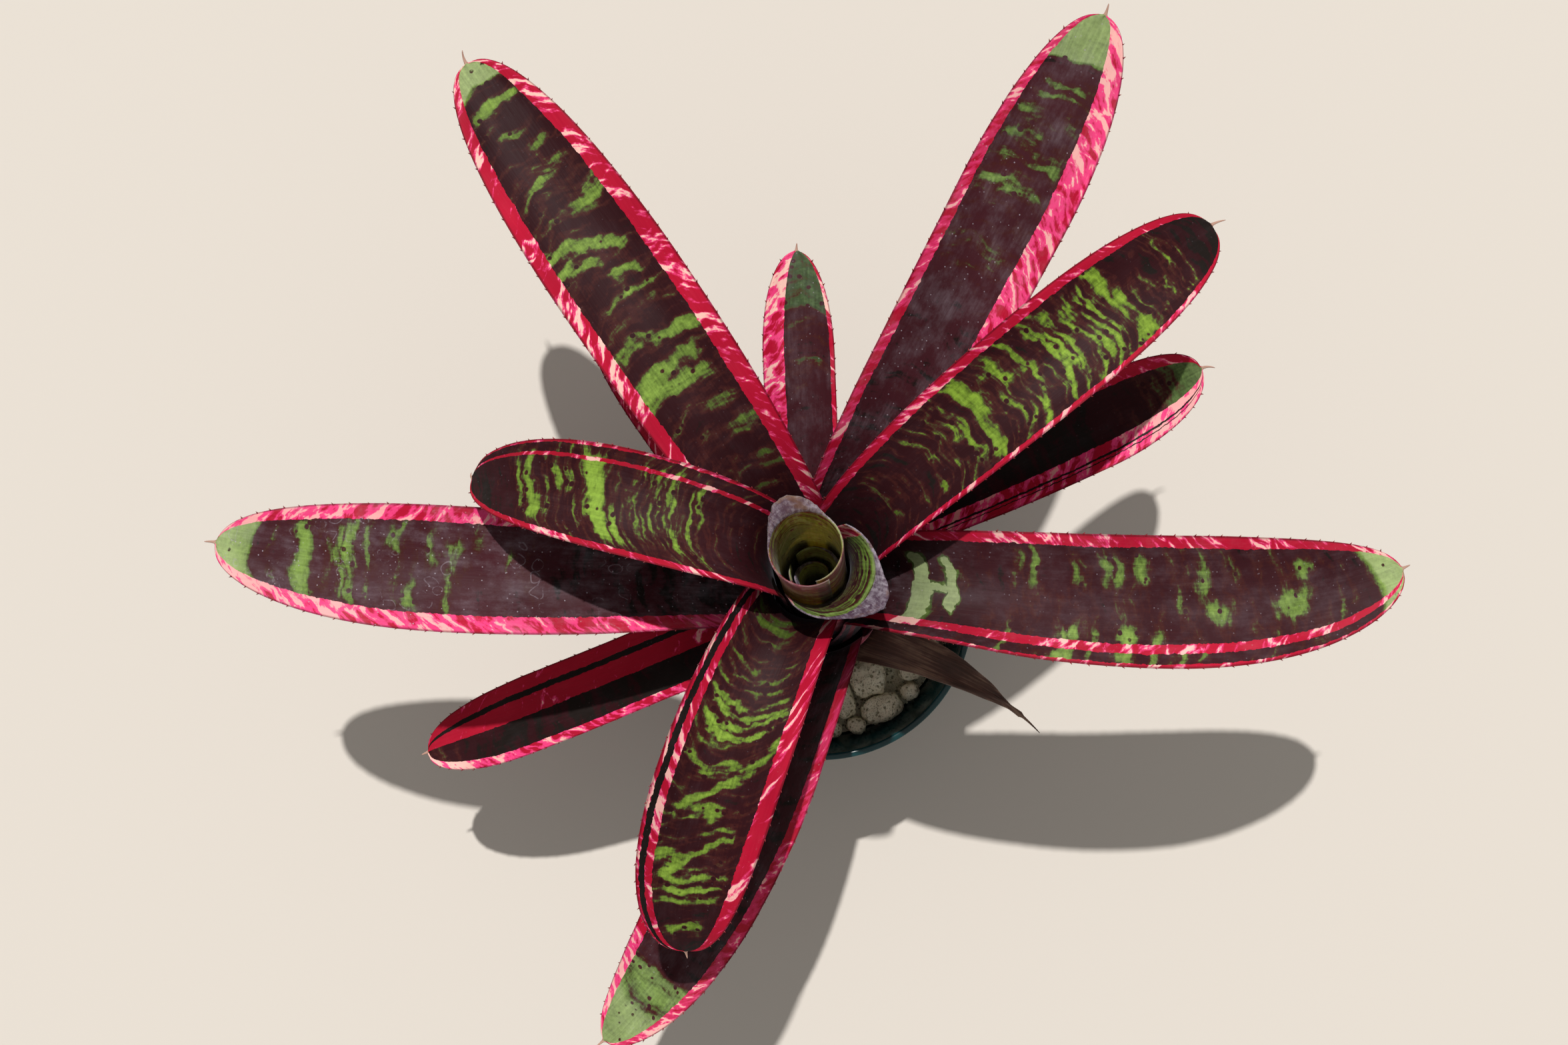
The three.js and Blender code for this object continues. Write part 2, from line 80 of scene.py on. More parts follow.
# heading: side the midrib is on; shell: radius of the sheath; foot and rise: where the sheath
# starts and the blade leaves it; tip: the blade's end; lift, reach, droop and turn: how the
# blade carries on up and comes in to its tip; width at the share widest; neck: width at the
# sheath; channel: half-angle of the trough; blunt: shape of the end; point: length, upward
# curl and sideways curl of the fine point on the tip; wave: height of the surface's waviness.
STRAP_FIELDS = ("name", "heading", "shell", "foot", "rise", "tip", "lift", "reach", "droop",
                "turn", "width", "widest", "neck", "channel", "blunt", "point", "wave")
STRAP_LEAVES = (
    ("arching_leaf_west", 165, 14.1, 23, 92, (-119.5, 47.5, 150), 40, 42, 48, 12, 37, 0.5, 32,
     34, 0.48, (5, -30, -50), 0.3),
    ("arching_leaf_northeast", 46, 15.2, 21.2, 74, (128.5, 131.5, 160), 50, 52, 36, -2, 39, 0.6,
     27, 34, 0.45, (6, 40, -35), 0.4),
    ("arching_leaf_south", 241, 16.4, 19, 80, (-47.5, -113.5, 148), 38, 42, 40, 24, 44, 0.55, 35,
     36, 0.48, (3.5, 20, 10), 0.3),
    ("long_leaf_northwest", 125, 17.6, 17, 68, (-121.5, 187.5, 151), 46, 70, 4, 1, 45, 0.55, 35,
     28, 0.42, (5, 40, -30), 0.4),
    ("long_leaf_east", 354, 18.8, 15, 70, (196.5, 16.5, 147), 34, 66, -3, 22, 47, 0.58, 35, 26,
     0.47, (3, 20, 0), 0.4),
    ("long_leaf_west", 178, 20, 13, 53, (-207.5, 25.5, 147), 32, 70, -3, -8, 45, 0.6, 34, 26,
     0.45, (4, 30, 20), 0.5),
    ("long_leaf_north", 62, 21.2, 11.2, 54, (87.5, 192.5, 195), 44, 70, -10, 3, 40, 0.68, 34, 30,
     0.45, (4, 20, 10), 0.5),
    ("long_leaf_south", 269, 22.4, 9.4, 40, (-79.5, -156.5, 100), 34, 76, 12, -17, 43, 0.5, 36,
     34, 0.52, (4, 30, 0), 0.5),
    ("short_leaf_northeast", 50, 23.4, 7.6, 40, (131.9, 86.2, 129), 27, 45, 2, 0, 35, 0.7, 20,
     50, 0.45, (5, 30, -40), 0.3),
    ("short_leaf_southwest", 207, 24.4, 6, 30, (-148.2, -54.5, 74), 22, 50, 16, -5, 33, 0.62, 30,
     52, 0.45, (3, 30, 20), 0.3),
    ("short_leaf_north", 100, 25.4, 4.4, 26, (-9.5, 130.5, 105), 16, 36, 4, -4, 28, 0.62, 26, 36,
     0.5, (3, 30, 0), 0.3),
    ("hidden_leaf_northwest", 138, 26.5, 2.8, 23, (-82.5, 111.5, 104), 14, 40, 4, 0, 32, 0.6, 26,
     34, 0.5, (3, 30, 0), 0.3),
    ("dry_leaf", 322, 24, 1.4, 14, (73.5, -39, 88), 6, 26, 6, -12, 21, 0.1, 21, 66, 1.3,
     (10, 20, -20), 0.9),
)

# wrap: half-angle covered; overlap: how much the roll spirals outwards; flare and shift: how
# much the mouth widens and moves to its midrib over the last mouth millimetres; lip: how much
# further the dried tip reaches, over the half-angle lip_width; fold: radius of the bend that
# turns it outwards, or 0.
ROLLED_FIELDS = ("name", "heading", "shell", "foot", "rim", "wrap", "overlap", "flare", "shift",
                 "mouth", "lip", "lip_width", "fold")
ROLLED_LEAVES = (
    ("young_leaf_inner", 200, 5.4, 34.4, 72, 165, 0, 0.4, 0.3, 20, 8, 60, 0),
    ("young_leaf_outer", 330, 8.1, 31.5, 86, 168, 0, 0.3, 0.2, 20, 9, 60, 0),
    ("tube_leaf", 115, 10.5, 28.5, 119, 190, 0.65, 1.0, 2.2, 24, 7, 42, 2.2),
    ("funnel_leaf", 325, 12.9, 25, 112, 104, 0, 3.4, 7.2, 24, 6.5, 32, 0),
)

# Stones: middle x and y, half-lengths along x, y and z, and turn.
STONES = (
    (18.5, -27.7, 7.4, 7.2, 6.6, 10), (23.5, -39, 8.5, 5.7, 7, 20),
    (8.2, -35.6, 4.9, 8.1, 6.4, 22), (34.7, -24.2, 5.5, 4.3, 6.6, 4),
    (27.1, -19, 4.2, 4.4, 5.2, 0), (34.3, -32.3, 4.1, 3.7, 5.8, 20),
    (13.8, -45.6, 3.9, 3.5, 6.6, -14), (-2.4, -37.8, 5.8, 8.6, 6, 4),
    (3.5, -47.4, 4.8, 3.2, 6.8, 4), (8.1, -23.3, 4, 4.2, 5, 0),
    (-12.9, -35, 5.5, 7.5, 5.8, -38), (-2.5, -24.5, 6.4, 4.6, 4.8, 12),
    (-22.9, -25.6, 5.4, 6.2, 5.6, 20), (-13.3, -23.1, 4.5, 5.8, 4.4, -10),
    (42.5, -17.2, 4.5, 6.9, 6.4, 8), (34.5, -11.9, 4.2, 5.2, 4.8, 10),
    (41.9, 0.1, 4.6, 8.2, 6.2, 17), (24, -10, 4.6, 4.4, 4.2, 0), (32, -1, 5, 5.4, 5, 14),
    (-27.3, -9, 4.6, 8.4, 5.8, -4), (34.7, 12.3, 6.6, 4.9, 5.8, -50),
    (24.1, 20.9, 7.1, 4.9, 5.6, -30), (-23.6, -39.8, 4.6, 4.6, 5.2, 24),
    (-31.1, -32.4, 5.5, 6.3, 5.8, -40), (-40.7, -20.1, 6.2, 5, 5.6, 62),
    (-46, -5.5, 5.2, 6.4, 6, 8), (-44.3, 10.4, 5.6, 6.2, 5.4, -14),
    (-38, 25.5, 6.4, 5, 6.2, 36), (-26.3, 36.7, 5.4, 6.2, 5.6, 48),
    (-11.8, 44.4, 6.8, 5.2, 6, -8), (4.4, 45.6, 6, 5.4, 5.4, 12),
    (19.2, 41.3, 5.6, 6, 6.2, -24), (33, 32.5, 5, 6.4, 5.4, 50), (42.6, 18.3, 4.8, 6, 5.8, 20),
    (-26, 18, 5.4, 6, 4.8, 10), (-10, 27.5, 6.2, 4.8, 5, 40), (9, 28.5, 5.2, 5.6, 4.8, -20),
    (-29, 3.5, 4.6, 5.2, 4.6, -30),
)

# The plainest cross-bars of each leaf, six numbers a bar: its middle along the blade, half its
# thickness there, where it starts and ends across, how far it slants on, and how bare it is.
# Along goes from the base (0) to the tip (1), across from the right margin (0) to the left (1).
BAR_FIELDS = ("Spot", "Half", "From", "To", "Slant", "Bare")
BARS = {
    "arching_leaf_west":
        ".19 .006 .3 .7 0 .4 .31 .006 .1 .8 0 .8 .335 .004 .2 .7 0 .6 .39 .007 .1 .85 0 .6 "
        ".41 .004 .1 .8 0 .45 .43 .005 .1 .8 0 .6 .455 .005 .1 .85 0 .5 .475 .005 .1 .8 0 .6 "
        ".5 .005 .15 .8 0 .5 .548 .008 .55 .85 0 .9 .59 .014 .12 .84 -.02 1.2 "
        ".65 .004 .5 .85 0 .6 .675 .01 .25 .5 0 .8 .71 .007 .25 .5 0 .7 .74 .004 .15 .8 0 .5 "
        ".785 .011 .1 .85 0 1.2 .815 .006 .2 .8 0 .8 .89 .005 .2 .7 0 .6",
    "arching_leaf_northeast":
        ".2 .008 .2 .7 0 .4 .315 .008 .15 .8 0 .6 .395 .005 .2 .8 0 .7 .437 .012 .08 .9 .02 1.2 "
        ".485 .006 .2 .45 0 .6 .505 .006 .5 .8 0 .6 .535 .005 .1 .6 0 .7 .555 .005 .4 .85 0 .7 "
        ".59 .005 .1 .85 .02 .8 .61 .005 .1 .85 -.02 .8 .632 .005 .15 .85 .02 .8 "
        ".66 .004 .1 .8 0 .6 .678 .004 .1 .85 0 .6 .697 .004 .15 .8 0 .6 .715 .004 .1 .8 0 .7 "
        ".757 .012 .06 .92 0 1.2 .79 .005 .2 .5 0 .7 .812 .004 .1 .45 0 .7 "
        ".835 .005 .1 .45 0 .8 .872 .004 .1 .8 0 .7 .92 .004 .2 .7 0 .4",
    "arching_leaf_south":
        ".13 .022 .2 .6 0 1 .245 .004 .2 .8 0 .6 .27 .005 .2 .8 0 .7 .3 .004 .2 .8 0 .7 "
        ".335 .006 .15 .8 0 .8 .36 .006 .2 .8 .03 .9 .385 .006 .2 .8 -.02 .9 "
        ".41 .006 .2 .8 .03 .9 .48 .012 .2 .6 0 .8 .525 .012 .28 .88 -.2 1.1 "
        ".61 .015 .35 .6 0 .9 .66 .006 .5 .8 0 .8 .715 .009 .16 .45 0 .9 "
        ".715 .008 .2 .8 -.15 .9 .775 .008 .2 .8 0 .9 .8 .006 .3 .75 0 .9 .835 .009 .2 .8 0 .8 "
        ".925 .018 .3 .7 0 1",
    "long_leaf_northwest":
        ".2 .009 .2 .6 0 .5 .26 .009 .1 .45 0 .5 .315 .012 .2 .8 0 .4 .375 .012 .3 .95 .02 1 "
        ".402 .013 .25 .8 0 .9 .455 .008 .15 .95 .03 1.1 .532 .006 .3 .5 0 .9 "
        ".57 .006 .3 .5 0 .9 .55 .02 .29 .33 0 .8 .55 .02 .47 .51 0 .8 .615 .007 .55 .9 .05 .8 "
        ".64 .009 .3 .9 .067 1.1 .705 .011 .15 .48 0 1 .7 .005 .45 .8 .02 .8 "
        ".745 .006 .55 .85 .05 .7 .76 .006 .5 .8 -.05 .7 .79 .006 .28 .55 0 .8 "
        ".825 .006 .3 .5 0 .8 .805 .018 .4 .44 0 .7 .86 .005 .4 .7 .03 .6 "
        ".915 .009 .2 .85 0 1.1",
    "long_leaf_east":
        ".132 .012 .15 .78 0 2.6 .158 .016 .45 .53 0 2.6 .186 .008 .3 .73 0 2.6 "
        ".3 .008 .6 .85 0 .8 .33 .008 .6 .85 0 .7 .415 .01 .55 .85 0 .8 .465 .008 .6 .85 0 .8 "
        ".49 .008 .62 .88 0 .8 .53 .012 .65 .85 0 .8 .635 .02 .6 .9 0 .5 .6 .008 .4 .6 0 .7 "
        ".66 .012 .35 .48 0 .8 .79 .02 .35 .5 0 .8 .82 .014 .65 .8 0 .8 .88 .005 .2 .8 0 .6 "
        ".905 .005 .3 .8 0 .7 .29 .005 .02 .25 0 .9 .395 .01 .02 .3 0 1 .445 .005 .02 .25 0 .9 "
        ".497 .009 .02 .3 0 1 .55 .007 .02 .25 0 .9 .6 .005 .02 .2 0 .8 .63 .004 .02 .2 0 .8",
    "long_leaf_west":
        ".49 .005 .3 .6 0 .6 .6 .008 .55 .85 0 .7 .66 .008 .6 .85 0 .7 .55 .008 .2 .5 0 .5 "
        ".58 .008 .3 .6 0 .5 .625 .01 .2 .5 0 .5 .685 .012 .15 .35 0 .8 .74 .004 .2 .8 0 .7 "
        ".77 .008 .15 .85 0 .8 .79 .006 .2 .8 0 .7 .852 .011 .13 .85 0 1.2 .905 .005 .2 .8 0 .8",
    "long_leaf_north":
        ".6 .012 .4 .8 0 .4 .712 .007 .3 .85 0 .9 .757 .006 .3 .8 0 .8 .79 .011 .55 .85 0 1 "
        ".775 .02 .5 .54 0 .6 .835 .012 .6 .85 0 .8 .865 .004 .4 .8 0 .7 .885 .004 .35 .8 0 .7",
    "short_leaf_north":
        ".63 .01 .15 .6 0 .6 .67 .008 .2 .6 .02 .5 .71 .01 .15 .55 0 .6 .76 .008 .2 .6 0 .5",
}

# How each leaf is coloured. stripes: each lengthwise stripe's kind and where it starts across;
# bare: places along the blade and how much of the dark pigment is missing there; fresh: how
# yellow its green is; net: how far the pigment breaks up into rounded cells; fine: how narrow
# the bands are; skew: how far they slant back to the left; bow: how far their ends bend back;
# dust: how much pale scurf lies on it; fleck: how creamy the marks in its red margins are;
# dried: where a rolled leaf's dried flap starts, in centimetres.
LOOK_FIELDS = ("stripes", "bare", "fresh", "net", "fine", "skew", "bow", "dust", "fleck",
               "dried")
NEVER = 1000
LOOKS = {
    "arching_leaf_west": (
        "claret 0 field .03 claret .13 field .17 claret .93",
        "0 .15 .2 .34 .5 .42 .8 .42 .86 .3 .92 .1 1 0",
        0.85, 0.2, 0.22, 1.0, 0.4, 0.25, 0.9, NEVER),
    "arching_leaf_northeast": (
        "red 0 field .05 red .9",
        "0 .15 .2 .32 .45 .42 .56 .47 .7 .44 .75 .33 .9 .29 .92 .1 1 0",
        0.95, 0.8, 0.15, 0.3, 0.3, 0.15, 0.8, NEVER),
    "arching_leaf_south": (
        "red 0 dark .03 red .085 field .155 red .855",
        "0 .2 .2 .35 .4 .4 .65 .38 .84 .34 .88 .2 .92 .35 .96 .2 1 0",
        0.85, 0.6, 0.08, 1.0, 1.3, 0.2, 0.9, NEVER),
    "long_leaf_northwest": (
        "red 0 field .16 red .86",
        "0 .25 .2 .36 .4 .38 .75 .38 .88 .33 .94 .2 .95 .35 .965 1",
        0.7, 0.3, 0.0, 0.3, 0.1, 0.15, 1.0, NEVER),
    "long_leaf_east": (
        "red 0 field .03 red .11 field .185 red .905",
        "0 .2 .25 .28 .4 .36 .8 .36 .9 .3 .935 .2 .945 .5 .96 1",
        0.6, 0.1, 0.0, 0.3, 0.0, 0.7, 0.9, NEVER),
    "long_leaf_west": (
        "pink 0 field .13 pink .85",
        "0 .1 .3 .12 .5 .32 .7 .36 .8 .36 .9 .3 .93 .25 .945 .8 1 .95",
        0.6, 0.1, 0.0, 0.3, 0.0, 1.9, 0.7, NEVER),
    "long_leaf_north": (
        "pink 0 field .25 rose .9",
        "0 .1 .45 .18 .6 .34 .7 .36 .85 .38 .9 .3 .918 .2 .93 .95 1 1",
        0.45, 0.1, 0.0, 0.1, 0.0, 1.4, 0.8, NEVER),
    "long_leaf_south": (
        "pink 0 field .12 rose .86",
        "0 .05 .3 .2 .6 .12 .75 .15 .795 .3 .81 .8 .88 .7 .9 .9 1 .95",
        0.45, 0.1, 0.0, 0.3, 0.0, 0.9, 0.8, NEVER),
    # This leaf's margins use the palest pink: partly their own colour, partly painted light, as
    # the leaf lies in shade.
    "short_leaf_northeast": (
        "pink 0 blush .03 dark .085 blush .095 dark .125 blush .145 field .255 red .8",
        "0 0 .7 .02 .78 .3 .85 .4 .93 .62 1 .9",
        0.2, 0.0, 0.0, 0.2, 0.0, 0.15, 0.7, NEVER),
    # Its lower margin uses the palest pink: partly its own colour, partly painted light.
    "short_leaf_southwest": (
        "wine 0 dark .17 wine .24 field .46 blush .84",
        "0 0 .7 .02 .9 .2 1 .5",
        0.2, 0.0, 0.0, 0.2, 0.0, 0.15, 0.9, NEVER),
    "short_leaf_north": (
        "red 0 field .06 pink .685",
        "0 .1 .5 .2 .62 .34 .79 .32 .82 .63 1 .74",
        0.05, 0.0, 0.0, 0.1, 0.0, 1.0, 1.0, NEVER),
    "hidden_leaf_northwest": (
        "red 0 field .16 red .84",
        "0 .2 .5 .4 .9 .4 .95 .9",
        0.6, 0.2, 0.0, 0.3, 0.0, 0.3, 0.8, NEVER),
    # The rolled leaves' bare ramps stay high, so their insides come out pale olive. This is partly
    # their own colour and partly painted light, standing in for light that shines through the leaf
    # walls into the tube.
    "tube_leaf": (
        "olive 0",
        "0 .8 .6 .9 .85 .82 .93 .72 1 .6",
        0.9, 0.0, 0.6, 0.0, 0.0, 0.4, 0.9, 9.05),
    "funnel_leaf": (
        "pink 0 field .03 red .88",
        "0 .35 .6 .42 .8 .42 .88 .46 .92 .52 .95 .6 .965 .5 .985 .8 1 .7",
        0.7, 0.0, 1.2, 0.0, 0.0, 0.3, 0.9, 8.62),
    # The young leaves are paled the same way: partly their own olive, partly painted light.
    "young_leaf_outer": (
        "olive 0",
        "0 .8 .6 .85 1 .75",
        0.8, 0.0, 0.6, 0.0, 0.0, 0.5, 0.9, 5.45),
    "young_leaf_inner": (
        "olive 0",
        "0 .8 .6 .85 1 .75",
        0.8, 0.0, 0.6, 0.0, 0.0, 0.5, 0.9, 3.76),
}

# A stripe's kind: how much green tissue it has, how bare it stays (0.5 as the leaf's bare
# says), and how pink its red is.
STRIPES = {
    "field": (1, 0.5, 0), "olive": (0.82, 0.5, 0.3), "dark": (1, 0, 0), "wine": (0, 0.41, 0.3),
    "claret": (0, 0.51, 0.2), "red": (0, 0.5, 0.5), "rose": (0, 0.5, 0.7),
    # The palest pink kind is partly the margins' own pink-white and partly painted light,
    # brightening margins that lie in shade.
    "pink": (0, 0.5, 0.95), "blush": (0, 0.6, 1),
}

# The patterns on a leaf. Noises: how each is laid (plain, bent as the bands are, back from the
# midrib besides, or squeezed into narrow bands), how often it repeats in a centimetre across
# and along, what is added to the leaf's seed, its scale, detail and roughness. Cells: the same
# as far as the scale, then what is measured in them.
NOISES = {
    "low": ("bent", 0.35, 0.6, 3, 1, 1, 0.5), "bands": ("squeezed", 0.8, 2.8, 7, 1, 3, 0.5),
    "veins": ("plain", 12, 0.9, 11, 1, 2, 0.5), "speckle": ("plain", 1, 1.3, 15, 7, 3, 0.6),
    "flecks": ("back", 0.9, 2.7, 21, 1, 3, 0.55), "blotch": ("back", 1.7, 2, 71, 1, 4, 0.6),
    "shade": ("plain", 0.5, 0.35, 0, 1, 3, 0.5), "film": ("plain", 1.2, 0.8, 60, 1, 5, 0.7),
    "streak": ("plain", 9, 2, 91, 1, 4, 0.7), "silver": ("bent", 0.5, 1.8, 33, 1, 3, 0.5),
}
CELLS = {
    "net": ("bent", 0.9, 2, 0, 1, "DISTANCE_TO_EDGE"),
    "cracks": ("bent", 1.1, 2.4, 5, 1, "DISTANCE_TO_EDGE"),
    "spots": ("plain", 1, 1.2, 0, 2.6), "specks": ("plain", 1, 1, 0, 6.5),
    "rings": ("bent", 1, 1, 81, 1.7),
}

# How much each pattern adds to the lack of pigment in green tissue and in the red margins, to
# how light the bare green is, and to the mottling of a dried flap.
FIELD_LACK = {"low": 0.6, "bands": 1.5, "veins": 0.25, "speckle": 0.45, "spots": -0.6,
              "bars": 0.62, "net": 1, "under": -0.35}
MARGIN_LACK = {"flecks": 1.6, "blotch": 1.2, "veins": 0.12, "low": 0.6, "cracks": 1.4,
               "speckle": 0.3, "bars": 0.2}
GREEN_SHADE = {"speckle": 0.7, "veins": 0.5, "low": 0.7}
FLAP_MOTTLE = {"streak": 1, "speckle": 0.9, "low": 0.8}

# From where to where that lack turns the colour before into this one.
TURNS = {
    "maroon": (-0.45, -0.2), "russet": (0.05, 0.4), "olive": (0.34, 0.54),
    "green": (0.46, 0.64), "pink": (0.33, 0.6), "cream": (0.5, 0.66),
}

# What leaf_places needs, what keeps its division off zero, and the sockets that aren't numbers.
PLACE_FIELDS = ("Seed", "Skew", "Bow")
TINY = 0.0001
SOCKET_KINDS = {"Stripe": "NodeSocketColor", "Colour": "NodeSocketColor",
                "Normal": "NodeSocketVector"}


# Settings


class PotSettings(bpy.types.PropertyGroup):
    """Sizes and finish of the pot."""

    height: FloatProperty(
        name="Height", description="From the table to the top of the rim",
        default=POT_HIGH[2], min=0.02, unit="LENGTH")
    rim_radius: FloatProperty(
        name="Rim radius", description="Outside radius of the band under the rim",
        default=POT_HIGH[0], min=0.01, unit="LENGTH")
    foot_radius: FloatProperty(
        name="Foot radius", description="Outside radius where the pot stands",
        default=0.0425, min=0.01, unit="LENGTH")
    wall: FloatProperty(
        name="Wall", description="Thickness of the wall", default=0.0018, min=0.0005,
        unit="LENGTH")
    band_height: FloatProperty(
        name="Band height", description="Height of the thicker band under the rim",
        default=0.007, min=0.001, unit="LENGTH")
    band_step: FloatProperty(
        name="Band step", description="How far the band stands out from the wall",
        default=0.0007, min=0, unit="LENGTH")
    hole_radius: FloatProperty(
        name="Hole radius", description="Radius of a drain hole", default=0.0035, min=0.001,
        unit="LENGTH")
    hole_circle: FloatProperty(
        name="Hole circle", description="Radius of the circle that the drain holes are on",
        default=0.025, min=0.001, unit="LENGTH")
    holes: IntProperty(
        name="Holes", description="Number of drain holes", default=6, min=1, max=12)
    glaze: FloatVectorProperty(
        name="Glaze", description="Colour of the pot", subtype="COLOR",
        default=(0.006, 0.062, 0.07), min=0, max=1)


class PumiceSettings(bpy.types.PropertyGroup):
    """Sizes and colours of the pumice."""

    grains: IntProperty(
        name="Grains", description="Number of small grains that fill in between the stones",
        default=520, min=0, max=2000)
    grain_size: FloatProperty(
        name="Grain size", description="Middling radius of a grain", default=0.0016,
        min=0.0002, unit="LENGTH")
    pit_depth: FloatProperty(
        name="Pit depth", description="Depth of the pits in a stone, as a share of its size",
        default=0.07, min=0, max=0.3)
    # The stone colour is partly the pumice's own pale beige and partly painted light, set paler so
    # that stones lying in shade still look bright.
    stone: FloatVectorProperty(
        name="Stone", description="Colour of the stone", subtype="COLOR",
        default=(0.84, 0.79, 0.60), min=0, max=1)
    # The pit colour is painted shade in the pumice's pores.
    pits: FloatVectorProperty(
        name="Pits", description="Colour in the pits", subtype="COLOR",
        default=(0.24, 0.22, 0.12), min=0, max=1)


class LeafSettings(bpy.types.PropertyGroup):
    """Sizes and colours that all leaves share."""

    thickness: FloatProperty(
        name="Thickness", description="Thickness of a leaf along its middle", default=0.0009,
        min=0.0002, unit="LENGTH")
    spine_length: FloatProperty(
        name="Spine length", description="Length of a spine on the margin", default=0.0009,
        min=0, unit="LENGTH")
    spine_spacing: FloatProperty(
        name="Spine spacing", description="Distance between spines", default=0.0047,
        min=0.001, unit="LENGTH")
    ink: FloatVectorProperty(
        name="Ink", description="Green tissue under the most pigment", subtype="COLOR",
        default=(0.011, 0.0075, 0.0065), min=0, max=1)
    maroon: FloatVectorProperty(
        name="Maroon", description="Green tissue under the dark pigment", subtype="COLOR",
        default=(0.023, 0.0043, 0.006), min=0, max=1)
    plum: FloatVectorProperty(
        name="Plum", description="Green tissue under dark pigment and a film of scurf",
        subtype="COLOR", default=(0.066, 0.015, 0.022), min=0, max=1)
    russet: FloatVectorProperty(
        name="Russet", description="Green tissue where the dark pigment thins", subtype="COLOR",
        default=(0.05, 0.011, 0.010), min=0, max=1)
    olive: FloatVectorProperty(
        name="Olive", description="Green tissue under thin pigment", subtype="COLOR",
        default=(0.06, 0.058, 0.022), min=0, max=1)
    moss: FloatVectorProperty(
        name="Moss", description="Bare green tissue, oldest and dullest", subtype="COLOR",
        default=(0.05, 0.085, 0.035), min=0, max=1)
    green: FloatVectorProperty(
        name="Green", description="Bare green tissue", subtype="COLOR",
        default=(0.15, 0.235, 0.055), min=0, max=1)
    lime: FloatVectorProperty(
        name="Lime", description="Bare green tissue, freshest", subtype="COLOR",
        default=(0.19, 0.31, 0.03), min=0, max=1)
    pale_green: FloatVectorProperty(
        name="Pale green", description="Bare green tissue at a leaf's tip", subtype="COLOR",
        default=(0.32, 0.39, 0.19), min=0, max=1)
    # Wine is set lighter than the leaves' own dark red: partly its own colour, partly painted
    # light for stripes that lie in shade.
    wine: FloatVectorProperty(
        name="Wine", description="Tissue without green, under the most pigment",
        subtype="COLOR", default=(0.33, 0.008, 0.022), min=0, max=1)
    crimson: FloatVectorProperty(
        name="Crimson", description="Tissue without green, under the pigment",
        subtype="COLOR", default=(0.42, 0.006, 0.03), min=0, max=1)
    pink: FloatVectorProperty(
        name="Pink", description="Tissue without green, where the pigment is thin",
        subtype="COLOR", default=(0.84, 0.055, 0.22), min=0, max=1)
    cream: FloatVectorProperty(
        name="Cream", description="Bare tissue without green", subtype="COLOR",
        default=(0.86, 0.52, 0.45), min=0, max=1)
    scurf: FloatVectorProperty(
        name="Scurf", description="Pale scales and dried tissue", subtype="COLOR",
        default=(0.40, 0.36, 0.42), min=0, max=1)
    lilac: FloatVectorProperty(
        name="Lilac", description="Dried flaps at the heart, between their pale scales",
        subtype="COLOR", default=(0.075, 0.045, 0.07), min=0, max=1)
    husk: FloatVectorProperty(
        name="Husk", description="The dead leaf's papery brown", subtype="COLOR",
        default=(0.12, 0.06, 0.042), min=0, max=1)
    straw: FloatVectorProperty(
        name="Straw", description="The dried fine point on a leaf's tip", subtype="COLOR",
        default=(0.46, 0.28, 0.22), min=0, max=1)
    spine: FloatVectorProperty(
        name="Spine", description="Spines and points", subtype="COLOR",
        default=(0.13, 0.008, 0.016), min=0, max=1)


class StageSettings(bpy.types.PropertyGroup):
    """Floor, lights and camera."""

    floor: FloatVectorProperty(
        name="Floor", description="Colour of the floor", subtype="COLOR",
        default=(0.66, 0.62, 0.57), min=0, max=1)
    key: FloatProperty(
        name="Key light", description="Strength of the key light", default=3.3, min=0)
    key_height: FloatProperty(
        name="Key height", description="Height of the key light over the horizon",
        default=math.radians(61), subtype="ANGLE")
    key_side: FloatProperty(
        name="Key side", description="Side that the key light comes from, from east to north",
        default=math.radians(97), subtype="ANGLE")
    key_size: FloatProperty(
        name="Key size", description="Angle that the key light fills, which softens its shadows",
        default=math.radians(1), subtype="ANGLE")
    fill: FloatProperty(
        name="Fill light", description="Strength of the light from all round", default=0.33,
        min=0)
    backdrop: FloatProperty(
        name="Backdrop", description="How bright the space round the floor is seen",
        default=0.75, min=0)
    eye: FloatVectorProperty(
        name="Eye", description="Where the camera stands, looking straight down",
        default=(-0.0140, 0.03225, 0.815), subtype="TRANSLATION", unit="LENGTH")
    lens: FloatProperty(
        name="Lens", description="Focal length on a 36 mm wide sensor, in millimetres",
        default=45, min=10)


# Small sums


def mix(low, high, share):
    """The value a share of the way from low to high."""
    return low + (high - low) * share


def smooth(share):
    """A share from 0 to 1, eased at both ends."""
    share = min(max(share, 0), 1)
    return share * share * (3 - 2 * share)


def round_axis(radius, heading, height):
    """A point round the z axis; heading in radians."""
    return Vector((radius * math.cos(heading), radius * math.sin(heading), height))


def rosette_place():
    """Where the rosette stands and how it leans."""
    lean = math.radians(ROSETTE["lean"])
    axis = round_axis(math.sin(lean), math.radians(ROSETTE["towards"]), math.cos(lean))
    turn = UP.rotation_difference(axis).to_matrix().to_4x4()
    return Matrix.Translation(ROSETTE["foot"]) @ turn


def lean_rows(rows):
    """Lean a leaf's rows with the rosette."""
    rosette = rosette_place()
    for row in rows:
        row["points"] = [rosette @ point for point in row["points"]]


def sheath_radius(leaf, height):
    """Radius of a leaf's sheath: it starts close round the stem and swells to its shell."""
    start = STEM["radius"] - STEM["taper"] * max(leaf["foot"], 0) + SHEATH_GAP
    share = min(max((height - leaf["foot"]) / SHEATH_FLARE, 0), 1)
    return mix(start, leaf["shell"], 1 - (1 - share) ** 2)


# Making pieces


def put_in_scene(name, data):
    """A new object in the scene."""
    made = bpy.data.objects.new(name, data)
    bpy.context.scene.collection.objects.link(made)
    return made


